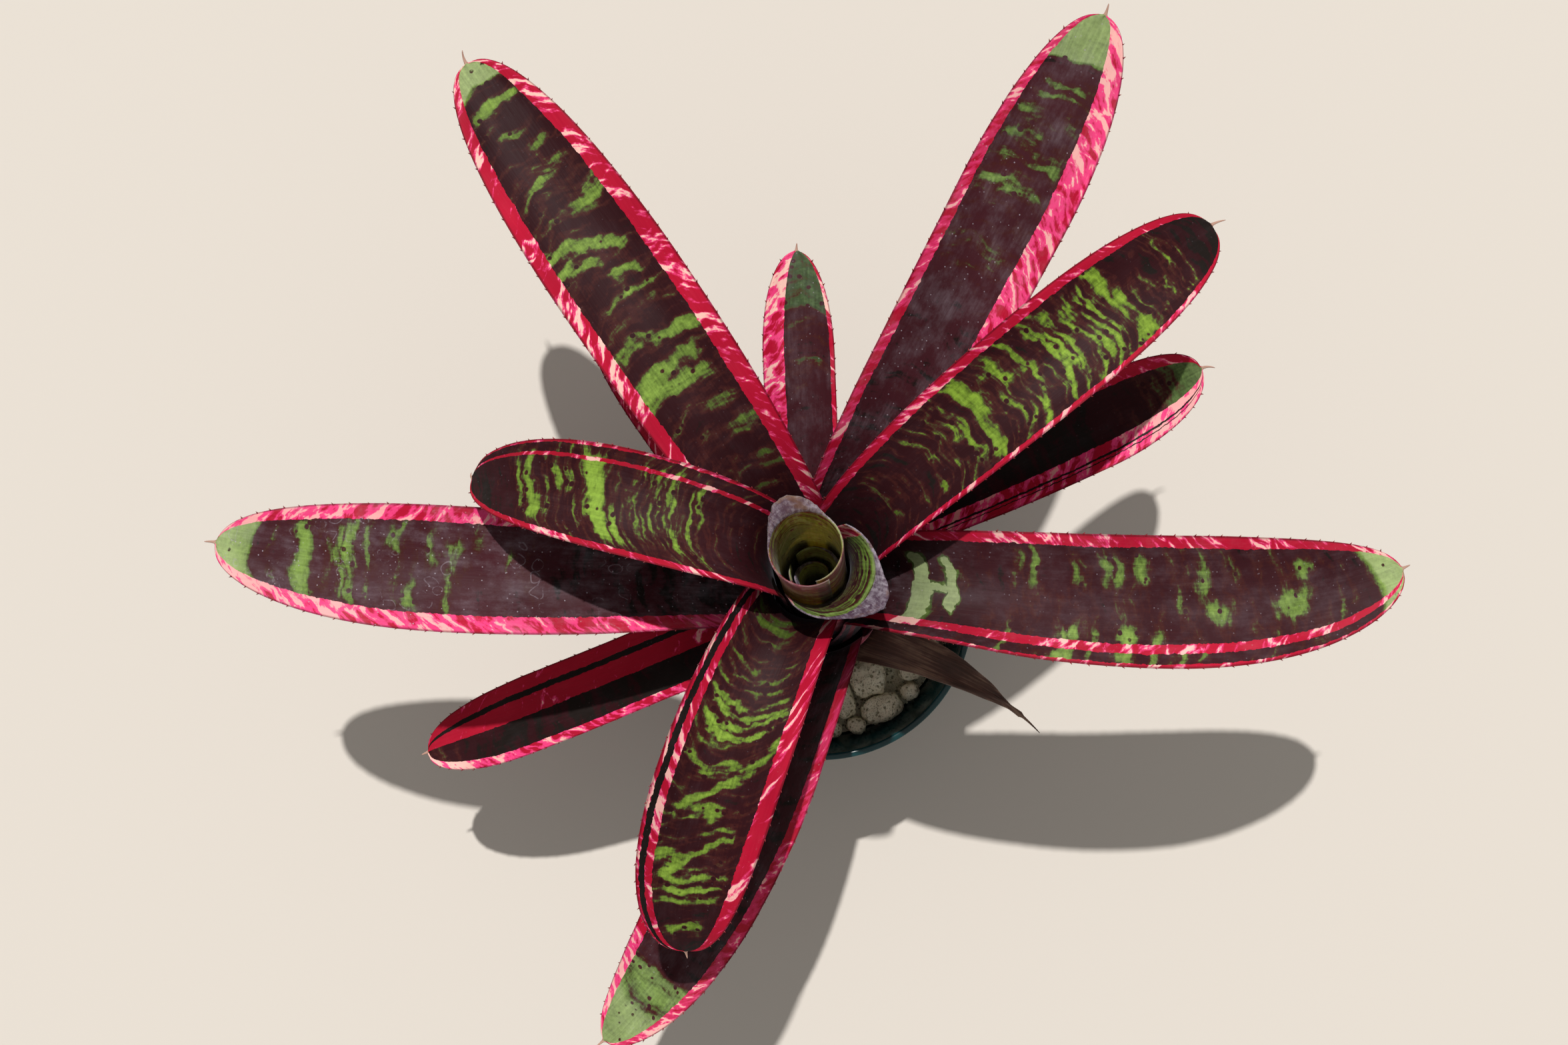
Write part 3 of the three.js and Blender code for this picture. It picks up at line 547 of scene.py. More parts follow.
def mesh_object(bm, name, materials=()):
    """Turn a finished bmesh into an object."""
    mesh = bpy.data.meshes.new(name)
    bm.to_mesh(mesh)
    bm.free()
    for material in materials:
        mesh.materials.append(material)
    return put_in_scene(name, mesh)


def finish_piece(bm, name, materials, node=None):
    """Turn a finished bmesh into a piece of the plant, in place of its solid."""
    piece = mesh_object(bm, name, materials)
    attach(piece, "root")
    if node:
        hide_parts(node)


def smooth_faces(faces, material=0):
    """Shade faces smoothly, in one of their piece's materials."""
    for face in faces:
        face.smooth = True
        face.material_index = material


def skin_normals(rows):
    """Upward direction of a middle surface at each of its points."""
    normals = []
    for r, row in enumerate(rows):
        before, after = rows[max(r - 1, 0)], rows[min(r + 1, len(rows) - 1)]
        line = []
        for j in range(len(row["points"])):
            left, right = min(j + 1, len(row["points"]) - 1), max(j - 1, 0)
            along = after["points"][j] - before["points"][j]
            across = row["points"][left] - row["points"][right]
            line.append(along.cross(across).normalized())
        normals.append(line)
    return normals


def close_sheet(bm, rows):
    """Close a leaf round its middle surface, with an upper and a lower skin that meet at its
    edges, and lay its two maps: Share (across and along) and Span (centimetres)."""
    columns = len(rows[0]["points"]) - 1
    last = len(rows) - 1
    normals = skin_normals(rows)
    made = bmesh.ops.create_grid(bm, x_segments=2 * columns, y_segments=last, size=0.5)
    share_map = bm.loops.layers.uv["Share"]
    span_map = bm.loops.layers.uv["Span"]

    def column(around):
        return 2 * columns - around if around > columns else around

    spots = {}
    for vert in made["verts"]:
        around = round((vert.co.x + 0.5) * 2 * columns)
        spots[vert] = (around, round((vert.co.y + 0.5) * last))
    faces = {face for vert in made["verts"] for face in vert.link_faces}
    for face in faces:
        under = max(spots[vert][0] for vert in face.verts) > columns
        for loop in face.loops:
            around, r = spots[loop.vert]
            j = column(around)
            across = rows[r]["across"][j]
            share, length = rows[r]["share"], rows[r]["length"]
            if "heights" in rows[r]:
                share, length = rows[r]["heights"][j]
            loop[share_map].uv = ((1 + across) / 2 + (2 if under else 0), share)
            loop[span_map].uv = (rows[r]["width"] * across / 20, length / 10)
        face.smooth = True
    for vert, (around, r) in spots.items():
        side = -1 if around > columns else 1
        j = column(around)
        across = rows[r]["across"][j]
        half = rows[r]["thick"] / 2 * math.sqrt(max(1 - across ** 8, 0))
        if r in (0, last):
            half = 0
        vert.co = (rows[r]["points"][j] + normals[r][j] * half * side) * MM
    bmesh.ops.remove_doubles(bm, verts=made["verts"], dist=2e-6)
    faces = [face for face in faces if face.is_valid]
    bmesh.ops.recalc_face_normals(bm, faces=faces)


def new_leaf_mesh():
    """An empty bmesh with the two maps that every leaf has."""
    bm = bmesh.new()
    bm.loops.layers.uv.new("Share")
    bm.loops.layers.uv.new("Span")
    return bm


# Strap leaves

ACROSS = [-math.cos(math.pi * j / 28) for j in range(29)]
SHEATH_ROWS = 14
BLADE_ROWS = 84
POINT_ROWS = 7
PATH_STEPS = 240

# The power by which a blade's rows crowd to its tip.
CROWDING = 1.5

# Where along a blade it has turned out of the sheath, spread into its trough and come to its full
# waves, as shares of its length; where its trough starts to flatten, and the share of its bend
# that is left at the tip.
TURNED, SPREAD, WAVED = 0.3, 0.35, 0.15
FLATTENS, FLATTENED = 0.6, 0.6

# The waves of a blade: how often they repeat across it and every how many millimetres along,
# what is added to the leaf's seed, their height, and how far they keep to the margins.
WAVES = ((1.4, 26, 0, 1.6, 0), (7, 40, 9, 0.35, 0), (1, 9, 5, 0.9, 4))

# The fine point: its width and thickness at its start and end in millimetres; the half-angle
# that it is bent to in radians, and the radius of that bend as a share of its width; how far it
# runs on past the blade in the pattern, as a share of the blade.
POINT_WIDTH = (1.5, 0.25)
POINT_THICK = (0.6, 0.3)
POINT_WRAP, POINT_BEND = 0.83, 0.6
POINT_ON = 0.2

# Where the spines start and end along a leaf. Of a spine: the radius of its foot as a share of
# its length; the radius of its end and how deep it is set, in millimetres; how far it leans
# outwards and to the tip; how its length and its spacing vary.
SPINY = (0.1, 0.985)
SPINE_FOOT, SPINE_END, SPINE_SET = 0.36, 0.03, 0.2
SPINE_OUT, SPINE_ON = 0.8, (0.45, 0.8)
SPINE_LENGTHS, SPINE_SPACINGS = (0.75, 1.15), (-0.15, 0.15)


def blade_path(leaf, rosette):
    """The blade's midrib: its points, directions and lengths, from the sheath to the tip."""
    heading = math.radians(leaf["heading"])
    start = round_axis(sheath_radius(leaf, leaf["rise"]), heading, leaf["rise"])
    below = round_axis(sheath_radius(leaf, leaf["rise"] - 1), heading, leaf["rise"] - 1)
    tip = Vector(leaf["tip"])
    foot = rosette @ start
    towards = math.atan2(tip.y - foot.y, tip.x - foot.x) + math.radians(leaf["turn"])
    droop = math.radians(leaf["droop"])
    last = round_axis(math.cos(droop), towards, -math.sin(droop))
    back = rosette.inverted()
    corners = (start, start + (start - below).normalized() * leaf["lift"],
               back @ (tip - last * leaf["reach"]), back @ tip)
    points, tangents, lengths = [], [], [0]
    for step in range(PATH_STEPS + 1):
        t = step / PATH_STEPS
        s = 1 - t
        points.append(corners[0] * s ** 3 + corners[1] * 3 * s * s * t
                      + corners[2] * 3 * s * t * t + corners[3] * t ** 3)
        tangents.append(((corners[1] - corners[0]) * s * s + (corners[2] - corners[1]) * 2 * s * t
                         + (corners[3] - corners[2]) * t * t).normalized())
        if step:
            lengths.append(lengths[-1] + (points[-1] - points[-2]).length)
    return points, tangents, lengths


def on_path(path, share):
    """Point and direction a share of the way along a blade's midrib."""
    points, tangents, lengths = path
    wanted = share * lengths[-1]
    step = 0
    while step < len(lengths) - 2 and lengths[step + 1] < wanted:
        step += 1
    part = (wanted - lengths[step]) / (lengths[step + 1] - lengths[step])
    return points[step].lerp(points[step + 1], part), tangents[step].lerp(tangents[step + 1], part)


def blade_width(leaf, share):
    """Width of the blade a share of the way along it."""
    if share < leaf["widest"]:
        return mix(leaf["neck"], leaf["width"], math.sin(math.pi / 2 * share / leaf["widest"]))
    beyond = (share - leaf["widest"]) / (1 - leaf["widest"])
    return max(2, leaf["width"] * max(1 - beyond ** 2, 0) ** leaf["blunt"])


def trough_row(centre, inward, sideways, radius, wrap):
    """Points on an arc across a leaf, from its right margin to its left."""
    points = []
    for across in ACROSS:
        angle = wrap * across
        points.append(centre + inward * radius * (1 - math.cos(angle))
                      + sideways * radius * math.sin(angle))
    return points


def sheath_rows(leaf, thick):
    """The part of a strap leaf that wraps the stem."""
    heading = math.radians(leaf["heading"])
    neck_wrap = leaf["neck"] / (2 * sheath_radius(leaf, leaf["rise"]))
    inward = round_axis(-1, heading, 0)
    sideways = round_axis(1, heading + math.pi / 2, 0)
    rows = []
    for step in range(SHEATH_ROWS):
        share = step / SHEATH_ROWS
        height = mix(leaf["foot"], leaf["rise"], share)
        radius = sheath_radius(leaf, height)
        wrap = mix(math.radians(SHEATH_WRAP), neck_wrap, smooth(share))
        points = trough_row(round_axis(radius, heading, height), inward, sideways, radius, wrap)
        rows.append({"points": points, "share": share - 1, "width": 2 * wrap * radius,
                     "length": height - leaf["rise"], "thick": thick, "across": ACROSS})
    return rows


def wavy(points, level, length, wave, seed):
    """Lift a row's points a little, so that the surface isn't perfectly even."""
    for j, across in enumerate(ACROSS):
        for often, every, shift, height, edge in WAVES:
            swell = noise.noise(Vector((across * often, length / every, seed + shift)))
            points[j] += level * wave * height * swell * across ** edge


def blade_rows(leaf, rosette, thick, seed):
    """The free part of a strap leaf, ending in its fine point."""
    heading = math.radians(leaf["heading"])
    neck_wrap = leaf["neck"] / (2 * sheath_radius(leaf, leaf["rise"]))
    path = blade_path(leaf, rosette)
    total = path[2][-1]
    sideways = round_axis(1, heading + math.pi / 2, 0)
    rows = []
    for step in range(BLADE_ROWS + 1):
        share = 1 - (1 - step / BLADE_ROWS) ** CROWDING
        centre, tangent = on_path(path, share)
        along = UP.lerp(tangent, smooth(share / TURNED)).normalized()
        sideways = (sideways - along * sideways.dot(along)).normalized()
        level = along.cross(sideways)
        width = blade_width(leaf, share)
        wrap = mix(neck_wrap, math.radians(leaf["channel"]), smooth(share / SPREAD))
        wrap *= mix(1, FLATTENED, smooth((share - FLATTENS) / (1 - FLATTENS)))
        points = trough_row(centre, level, sideways, width / (2 * wrap), wrap)
        wavy(points, level, share * total, leaf["wave"] * smooth(share / WAVED), seed)
        rows.append({"points": points, "share": share, "width": width, "length": share * total,
                     "thick": mix(thick, thick * 0.7, smooth((share - 0.9) * 10)),
                     "across": ACROSS})
    return rows + point_rows(leaf, rows[-1], along, level, sideways)


def point_rows(leaf, end, along, level, sideways):
    """The narrow curled point that a blade ends in."""
    size, curl, bend = leaf["point"]
    place = end["points"][len(ACROSS) // 2].copy()
    rows = []
    for step in range(1, POINT_ROWS + 1):
        share = step / POINT_ROWS
        turn = Matrix.Rotation(-math.radians(curl) / POINT_ROWS, 3, sideways)
        turn = Matrix.Rotation(math.radians(bend) / POINT_ROWS, 3, level) @ turn
        along, level, sideways = turn @ along, turn @ level, turn @ sideways
        place = place + along * size / POINT_ROWS
        width = mix(*POINT_WIDTH, share ** 0.6)
        points = trough_row(place, level, sideways, width * POINT_BEND, POINT_WRAP)
        rows.append({"points": points, "share": 1 + share * POINT_ON, "width": width,
                     "length": end["length"] + size * share, "thick": mix(*POINT_THICK, share),
                     "across": ACROSS})
    return rows


def add_spines(bm, rows, length, spacing, chance):
    """Small hooked spines along both margins, slanting to the tip."""
    blade = [row for row in rows if SPINY[0] < row["share"] < SPINY[1]]
    for side, inner in ((0, 3), (-1, -4)):
        since = spacing * chance.random()
        for before, after in zip(blade, blade[1:]):
            here, there = before["points"][side], after["points"][side]
            step = (there - here).length
            since += step
            if since < spacing or step == 0:
                continue
            since = spacing * chance.uniform(*SPINE_SPACINGS)
            along = (there - here).normalized()
            outward = (here - before["points"][inner]).normalized()
            aim = (outward * SPINE_OUT + along * chance.uniform(*SPINE_ON)).normalized()
            tall = length * chance.uniform(*SPINE_LENGTHS)
            middle = here - outward * SPINE_SET + aim * tall / 2
            turn = aim.to_track_quat("Z", "Y").to_matrix().to_4x4()
            made = bmesh.ops.create_cone(
                bm, cap_ends=True, segments=5, radius1=tall * SPINE_FOOT * MM,
                radius2=SPINE_END * MM, depth=tall * MM,
                matrix=Matrix.Translation(middle * MM) @ turn)
            smooth_faces({face for vert in made["verts"] for face in vert.link_faces}, 1)


def make_strap_leaf(leaf, settings, seed):
    """One strap leaf in place of its solid."""
    thick = settings.thickness / MM
    rows = sheath_rows(leaf, thick) + blade_rows(leaf, rosette_place(), thick, seed)
    lean_rows(rows)
    bm = new_leaf_mesh()
    if leaf["name"] == "dry_leaf":
        materials, slot = [husk_material(settings)], "dry_leaf"
    else:
        add_spines(bm, rows, settings.spine_length / MM, settings.spine_spacing / MM,
                   random.Random(seed))
        materials, slot = [banded_material(leaf["name"], settings, seed)], "banded_leaf"
    close_sheet(bm, rows)
    materials.append(spine_material(settings))
    finish_piece(bm, "variegated_" + leaf["name"], materials, leaf["name"])


# Rolled leaves

# Rows below the mouth and in it, where the mouth starts, the furthest that a lip folds, and how
# torn the rim is all round and how much more at the lip.
BODY_ROWS = 20
MOUTH_ROWS = 40
MOUTH_FROM = 0.6
MOST_FOLD = 1.2
TORN, LIP_TORN = 0.25, 0.8


def rolled_rows(leaf, thick, seed):
    """A leaf at the heart that is still rolled round its neighbours."""
    columns = 96 if leaf["wrap"] > 150 else 60
    shares = [step / BODY_ROWS * MOUTH_FROM for step in range(BODY_ROWS)]
    shares += [MOUTH_FROM + step / MOUTH_ROWS * (1 - MOUTH_FROM) for step in range(MOUTH_ROWS + 1)]
    spots = [-1 + 2 * j / columns for j in range(columns + 1)]
    heading = math.radians(leaf["heading"])
    rows = []
    for share in shares:
        points, heights = [], []
        for across in spots:
            side = leaf["wrap"] * across
            near_lip = math.exp(-(side / leaf["lip_width"]) ** 2)
            torn = noise.noise(Vector((side / 9, seed, 0)))
            torn += 0.6 * noise.noise(Vector((side / 3, seed, 4)))
            rim = leaf["rim"] + leaf["lip"] * near_lip + torn * (TORN + LIP_TORN * near_lip)
            height = mix(leaf["foot"], rim, share)
            beyond = max(0, height - leaf["rim"]) if leaf["fold"] else 0
            upright = height - beyond
            open_up = max(0, (upright - leaf["rim"] + leaf["mouth"]) / leaf["mouth"]) ** 2
            radius = sheath_radius(leaf, upright) + leaf["overlap"] * (1 + across)
            radius += leaf["flare"] * open_up
            turn = min(beyond / leaf["fold"], MOST_FOLD) if beyond else 0
            straight = beyond - turn * leaf["fold"]
            radius += leaf["fold"] * (1 - math.cos(turn)) + straight * math.sin(turn)
            rise = leaf["fold"] * math.sin(turn) + straight * math.cos(turn)
            point = round_axis(radius, heading + math.radians(side), upright + rise)
            points.append(point + round_axis(leaf["shift"] * open_up, heading, 0))
            reach = (height - leaf["foot"]) / (leaf["rim"] - leaf["foot"])
            heights.append((min(reach, 0.995), height - leaf["foot"]))
        rows.append({"points": points, "heights": heights, "share": share, "length": 0,
                     "width": 2 * math.radians(leaf["wrap"]) * leaf["shell"],
                     "thick": thick, "across": spots})
    return rows


def make_rolled_leaf(leaf, settings, seed):
    """One rolled leaf in place of its solid."""
    rows = rolled_rows(leaf, settings.thickness / MM * 0.9, seed)
    lean_rows(rows)
    bm = new_leaf_mesh()
    close_sheet(bm, rows)
    material = banded_material(leaf["name"], settings, seed)
    finish_piece(bm, "rolled_" + leaf["name"], [material], leaf["name"])


# Pot


def wall_profile(settings):
    """Outline of the pot's wall and floor from the axis outwards, up and back down inside."""
    rim = settings.rim_radius
    wall_top = rim - settings.band_step
    slope = (wall_top - settings.foot_radius) / settings.height

    def outside(height):
        return settings.foot_radius + slope * height

    top, band = settings.height, settings.height - settings.band_height
    round_off, floor = 0.0006, 0.002
    # Under the floor, round the foot and up the wall.
    outline = [(0, 0), (settings.foot_radius - 0.003, 0), (settings.foot_radius - 0.0007, 0),
               (settings.foot_radius - 0.0002, 0.0002), (outside(0.0007), 0.0007)]
    outline += [(outside(height * band / 10), height * band / 10) for height in range(1, 10)]
    # Out to the band and up it.
    outline += [(outside(band - 0.0012), band - 0.0012), (outside(band - 0.0006), band - 0.0005),
                (rim - 0.0003, band - 0.0001), (rim - 0.00003, band + 0.0004)]
    outline += [(rim, band + 0.0012), (rim, top - round_off * 2), (rim, top - round_off)]
    # Over the rim in half an oval.
    inner = wall_top - settings.wall
    middle = (rim + inner) / 2
    half = (rim - inner) / 2
    for step in range(1, 8):
        angle = math.pi * step / 8
        outline.append((middle + half * math.cos(angle),
                        top - round_off + round_off * math.sin(angle)))
    outline.append((inner, top - round_off))
    # Down inside, and round the corner to the middle of the floor.
    outline += [(outside(share * top / 10) - settings.wall, share * top / 10)
                for share in range(9, 0, -1)]
    inside = outside(floor) - settings.wall
    outline += [(inside, floor + 0.0015), (inside - 0.0004, floor + 0.0004),
                (inside - 0.0015, floor), (0, floor)]
    return outline


def make_pot(settings):
    """The pot, spun from its outline and pierced with its drain holes."""
    bm = bmesh.new()
    verts = [bm.verts.new((radius, 0, height)) for radius, height in wall_profile(settings)]
    edges = [bm.edges.new(pair) for pair in zip(verts, verts[1:])]
    bmesh.ops.spin(bm, geom=verts + edges, cent=(0, 0, 0), axis=(0, 0, 1), dvec=(0, 0, 0),
                   angle=math.tau, steps=128, use_merge=True)
    bmesh.ops.remove_doubles(bm, verts=bm.verts[:], dist=1e-6)
    bmesh.ops.recalc_face_normals(bm, faces=bm.faces[:])
    cutters = bmesh.new()
    for hole in range(settings.holes):
        spot = round_axis(settings.hole_circle, math.tau * hole / settings.holes, 0)
        bmesh.ops.create_cone(cutters, cap_ends=True, segments=36, radius1=settings.hole_radius,
                              radius2=settings.hole_radius, depth=0.01,
                              matrix=Matrix.Translation(spot))
    cut_away(bm, cutters)
    smooth_faces(bm.faces)
    for edge in bm.edges:
        edge.smooth = edge.calc_face_angle(0) < math.radians(40)
    finish_piece(bm, "moulded_pot", [glaze_material(settings)], "pot")


def cut_away(bm, cutters):
    """Take the cutters' space out of a bmesh."""
    blank, tool = mesh_object(bm.copy(), "blank"), mesh_object(cutters, "cutters")
    cut = blank.modifiers.new("cut", "BOOLEAN")
    cut.operation = "DIFFERENCE"
    cut.solver = "EXACT"
    cut.object = tool
    depsgraph = bpy.context.evaluated_depsgraph_get()
    result = bpy.data.meshes.new_from_object(blank.evaluated_get(depsgraph))
    bm.clear()
    bm.from_mesh(result)
    for mesh in (blank.data, tool.data, result):
        bpy.data.meshes.remove(mesh)


# Pumice


def pitted(direction, seed, depth):
    """Distance of a worn stone's surface from its middle: blocky, lumpy and pitted."""
    block = sum(abs(part) ** BLOCKY for part in direction) ** (-1 / BLOCKY)
    lumps = noise.noise(direction * 1.7 + Vector((seed, 0, 0)))
    lumps += 0.4 * noise.noise(direction * 4.3 + Vector((0, seed, 0)))
    large = noise.voronoi(direction * 4.2 + Vector((0, 0, seed * 3.1)))[0][0]
    small = noise.voronoi(direction * 8.5 + Vector((0, seed, 1.7)))[0][0]
    pit = max(0, 1 - large / 0.34) ** 0.7 + 0.45 * max(0, 1 - small / 0.36)
    return block * (0.93 + 0.13 * lumps) - depth * pit


def make_stones(settings):
    """The stones of pumice, each in place of its solid."""
    material = pumice_material(settings, "pumice_stone", 1)
    for index, (x, y, half_x, half_y, half_z, turn) in enumerate(STONES):
        bm = bmesh.new()
        bmesh.ops.create_icosphere(bm, subdivisions=5 if index < 9 else 4, radius=1)
        for vert in bm.verts:
            direction = vert.co.normalized()
            vert.co = direction * pitted(direction, index * 2.37, settings.pit_depth)
        bmesh.ops.scale(bm, vec=(half_x * MM, half_y * MM, half_z * MM), verts=bm.verts[:])
        turned = Matrix.Rotation(math.radians(turn), 4, "Z")
        bmesh.ops.transform(bm, matrix=turned, verts=bm.verts[:])
        lowest = min(vert.co.z for vert in bm.verts)
        lift = (BED_TOP + STONE_GAP) * MM - lowest
        bmesh.ops.translate(bm, vec=(x * MM, y * MM, lift), verts=bm.verts[:])
        smooth_faces(bm.faces)
        number = f"{index + 1:02d}"
        finish_piece(bm, "worn_pumice_stone_" + number, [material],
                     "pumice_stone_" + number)


def make_grains(settings):
    """Small grains that lie between the stones."""
    bm = bmesh.new()
    chance = random.Random(7)
    for _ in range(settings.grains):
        size = settings.grain_size * chance.uniform(0.5, 1.5)
        distance = GRAINS_REACH * MM * math.sqrt(chance.random())
        spot = round_axis(distance, chance.uniform(0, math.tau), BED_TOP * MM + size * 0.55)
        turn = Matrix.Rotation(chance.uniform(0, math.tau), 4, "Z")
        squash = Matrix.Diagonal((chance.uniform(0.7, 1.1), chance.uniform(0.6, 1), 0.7, 1))
        made = bmesh.ops.create_icosphere(bm, subdivisions=1, radius=size)
        for vert in made["verts"]:
            vert.co *= 1 + 0.25 * noise.noise(vert.co * 700 + spot * 900)
        bmesh.ops.transform(bm, matrix=Matrix.Translation(spot) @ turn @ squash,
                            verts=made["verts"])
    smooth_faces(bm.faces)
    finish_piece(bm, "pumice_grains", [pumice_material(settings, "pumice_grain", 0.8)])


# Materials


class Value:
    """A number that differs over a surface: sums on it become shader nodes."""

    def __init__(self, recipe, socket):
        self.recipe = recipe
        self.socket = socket

    def __add__(self, other):
        return self.recipe.math("ADD", self, other)

    __radd__ = __add__

    def __sub__(self, other):
        return self.recipe.math("SUBTRACT", self, other)

    def __rsub__(self, other):
        return self.recipe.math("SUBTRACT", other, self)

    def __mul__(self, other):
        return self.recipe.math("MULTIPLY", self, other)

    def __truediv__(self, other):
        return self.recipe.math("DIVIDE", self, other)

    def __pow__(self, other):
        return self.recipe.math("POWER", self, other)

    def __abs__(self):
        return self.recipe.math("ABSOLUTE", self)

    def above(self, level):
        """1 where the value is over a level, else 0."""
        return self.recipe.math("GREATER_THAN", self, level)

    def ease(self, low, high):
        """0 below low, 1 above high, eased between."""
        made = self.recipe.node("ShaderNodeMapRange", {0: self, 1: low, 2: high},
                                interpolation_type="SMOOTHSTEP")
        return Value(self.recipe, made.outputs[0])


class Recipe:
    """Adds shader nodes to one tree, a line at a time."""

    def __init__(self, tree):
        self.tree = tree

    def node(self, kind, sockets=None, **settings):
        """A node with its sockets linked or set."""
        made = self.tree.nodes.new(kind)
        for name, value in settings.items():
            setattr(made, name, value)
        self.fill(made, sockets or {})
        return made

    def fill(self, node, sockets):
        """Link or set some of a node's sockets."""
        for name, value in sockets.items():
            if isinstance(value, Value):
                value = value.socket
            if isinstance(value, bpy.types.NodeSocket):
                self.tree.links.new(value, node.inputs[name])
            else:
                node.inputs[name].default_value = value

    def values(self, node):
        """A node's outputs as values, by name."""
        return {socket.name: Value(self, socket) for socket in node.outputs}

    def group(self, tree, sockets):
        """The outputs of a node group, as values."""
        return self.values(self.node("ShaderNodeGroup", sockets, node_tree=tree))

    def math(self, operation, *numbers):
        """A sum on one or two numbers."""
        made = self.node("ShaderNodeMath", dict(enumerate(numbers)), operation=operation)
        return Value(self, made.outputs[0])

    def place(self, x, y, z=0.0):
        """Three numbers as a place."""
        return self.node("ShaderNodeCombineXYZ", {0: x, 1: y, 2: z}).outputs[0]

    def parts(self, vector):
        """The three numbers of a place or colour."""
        made = self.node("ShaderNodeSeparateXYZ", {0: vector})
        return [Value(self, socket) for socket in made.outputs]

    def on_object(self):
        """The place on the piece, in metres."""
        return self.node("ShaderNodeTexCoord").outputs["Object"]

    def on_map(self, name):
        """The two numbers of one of a leaf's maps."""
        return self.parts(self.node("ShaderNodeUVMap", uv_map=name).outputs[0])[:2]

    def noise(self, place, scale, detail=2.0, roughness=0.5):
        """Soft noise: its number and its colour."""
        return self.node("ShaderNodeTexNoise", {
            "Vector": place, "Scale": scale, "Detail": detail, "Roughness": roughness}).outputs

    def grain(self, place, scale=1.0, detail=1.0, roughness=0.5):
        """Soft noise about 0, from about -0.5 to 0.5."""
        return Value(self, self.noise(place, scale, detail, roughness)[0]) - 0.5

    def bends(self, place, scale, detail=2.0, roughness=0.5):
        """Two soft noises about 0, which bend a pattern across and along."""
        across, along, _ = self.parts(self.noise(place, scale, detail, roughness)[1])
        return across - 0.5, along - 0.5

    def cells(self, place, scale=1.0, feature="F1"):
        """Distances in a pattern of cells, and each cell's own colour."""
        made = self.node("ShaderNodeTexVoronoi", {"Vector": place, "Scale": scale},
                         feature=feature)
        return Value(self, made.outputs["Distance"]), made.outputs.get("Color")

    def blend(self, share, first, second):
        """The second colour laid over the first."""
        made = self.node("ShaderNodeMix", {0: share, 6: first, 7: second}, data_type="RGBA")
        return made.outputs[2]

    def scaled(self, vector, factor):
        """A colour or place times a number."""
        made = self.node("ShaderNodeVectorMath", {0: vector, "Scale": factor},
                         operation="SCALE")
        return made.outputs[0]

    def ramp(self, value, stops, interpolation="LINEAR"):
        """Colours along a value."""
        made = self.node("ShaderNodeValToRGB", {0: value})
        scale = made.color_ramp
        scale.interpolation = interpolation
        while len(scale.elements) > 1:
            scale.elements.remove(scale.elements[-1])
        for number, (spot, colour) in enumerate(stops):
            element = scale.elements[0] if number == 0 else scale.elements.new(spot)
            element.position = spot
            element.color = colour
        return made.outputs[0]

    def bump(self, height, strength, depth):
        """Relief by a height, depth metres deep."""
        return self.node("ShaderNodeBump", {
            "Strength": strength, "Distance": depth, "Height": height}).outputs[0]


def paint(colour, strength=1.0):
    """A setting's colour as a socket takes it, made darker or lighter."""
    return (*(min(part * strength, 1) for part in colour), 1)


def new_group(name, inputs, outputs):
    """An empty node group as its recipe, its inputs and its end."""
    group = bpy.data.node_groups.new(name, "ShaderNodeTree")
    for side, labels in (("INPUT", inputs), ("OUTPUT", outputs)):
        for label in labels.split():
            kind = SOCKET_KINDS.get(label, "NodeSocketFloat")
            group.interface.new_socket(label, in_out=side, socket_type=kind)
    recipe = Recipe(group)
    return recipe, recipe.values(recipe.node("NodeGroupInput")), recipe.node("NodeGroupOutput")


def leaf_places():
    """Node group: where a spot is on its leaf."""
    if "leaf_places" in bpy.data.node_groups:
        return bpy.data.node_groups["leaf_places"]
    recipe, start, end = new_group(
        "leaf_places", " ".join(PLACE_FIELDS), "Across Along Under Edge X Y Swept Share")
    side, share = recipe.on_map("Share")
    x, y = recipe.on_map("Span")
    under = side.above(1.5)
    across = side - under * 2
    edge = abs(across * 2 - 1)
    sway = recipe.grain(recipe.place(x, y * 0.5, start["Seed"]), 0.8, 2)
    rough = recipe.grain(recipe.place(x, y, start["Seed"]), 4.5, 2, 0.6)
    bow = share.ease(0.8, 0.3) * start["Bow"]
    sweep = edge ** 2 * bow + edge ** 3 * 0.5 + (across - 0.5) * start["Skew"] + sway * 0.7
    share_a_centimetre = share / (y + TINY)
    recipe.fill(end, {
        "Across": across + sway * 0.03 + rough * 0.035,
        "Along": share + sweep * share_a_centimetre, "Under": under, "Edge": edge, "X": x,
        "Y": y, "Swept": y + sweep, "Share": share})
    return recipe.tree


def leaf_marks(recipe, start, where):
    """A leaf's patterns by name, as NOISES and CELLS give them."""
    x, y, seed, fine = where["X"], where["Y"], start["Seed"], start["Fine"]
    aside, onward = recipe.bends(recipe.place(x, y, seed + 40), 0.9)
    wide = x + aside * 0.7
    long = where["Swept"] + onward * 0.6
    places = {
        "plain": (x, y),
        "bent": (wide, long),
        "back": (wide, long + abs(x) * 0.6),
        "squeezed": (wide * (fine * -0.6 + 1), long * (fine * 4 + 1)),
    }
    marks = {"under": where["Under"], "bars": start["Bars"]}
    for name, (lay, across, along, shift, scale, *kind) in (NOISES | CELLS).items():
        place = recipe.place(places[lay][0] * across, places[lay][1] * along, seed + shift)
        if name in NOISES:
            marks[name] = recipe.grain(place, scale, *kind)
        else:
            marks[name], marks["own " + name] = recipe.cells(place, scale, *kind)
    chosen = recipe.parts(marks["own spots"])[1].above(0.45)
    marks["spots"] = marks["spots"].ease(0.3, 0.16) * chosen
    net = recipe.math("MAXIMUM", 0.11 - marks["net"], -0.25)
    marks["net"] = net * (start["Net"] * 1.6 + 0.25)
    marks["cracks"] = recipe.math("MAXIMUM", 0.1 - marks["cracks"], -0.15)
    return marks


def weighed(marks, weights):
    """Patterns added up, each times its weight."""
    return sum(marks[name] * weight for name, weight in weights.items())


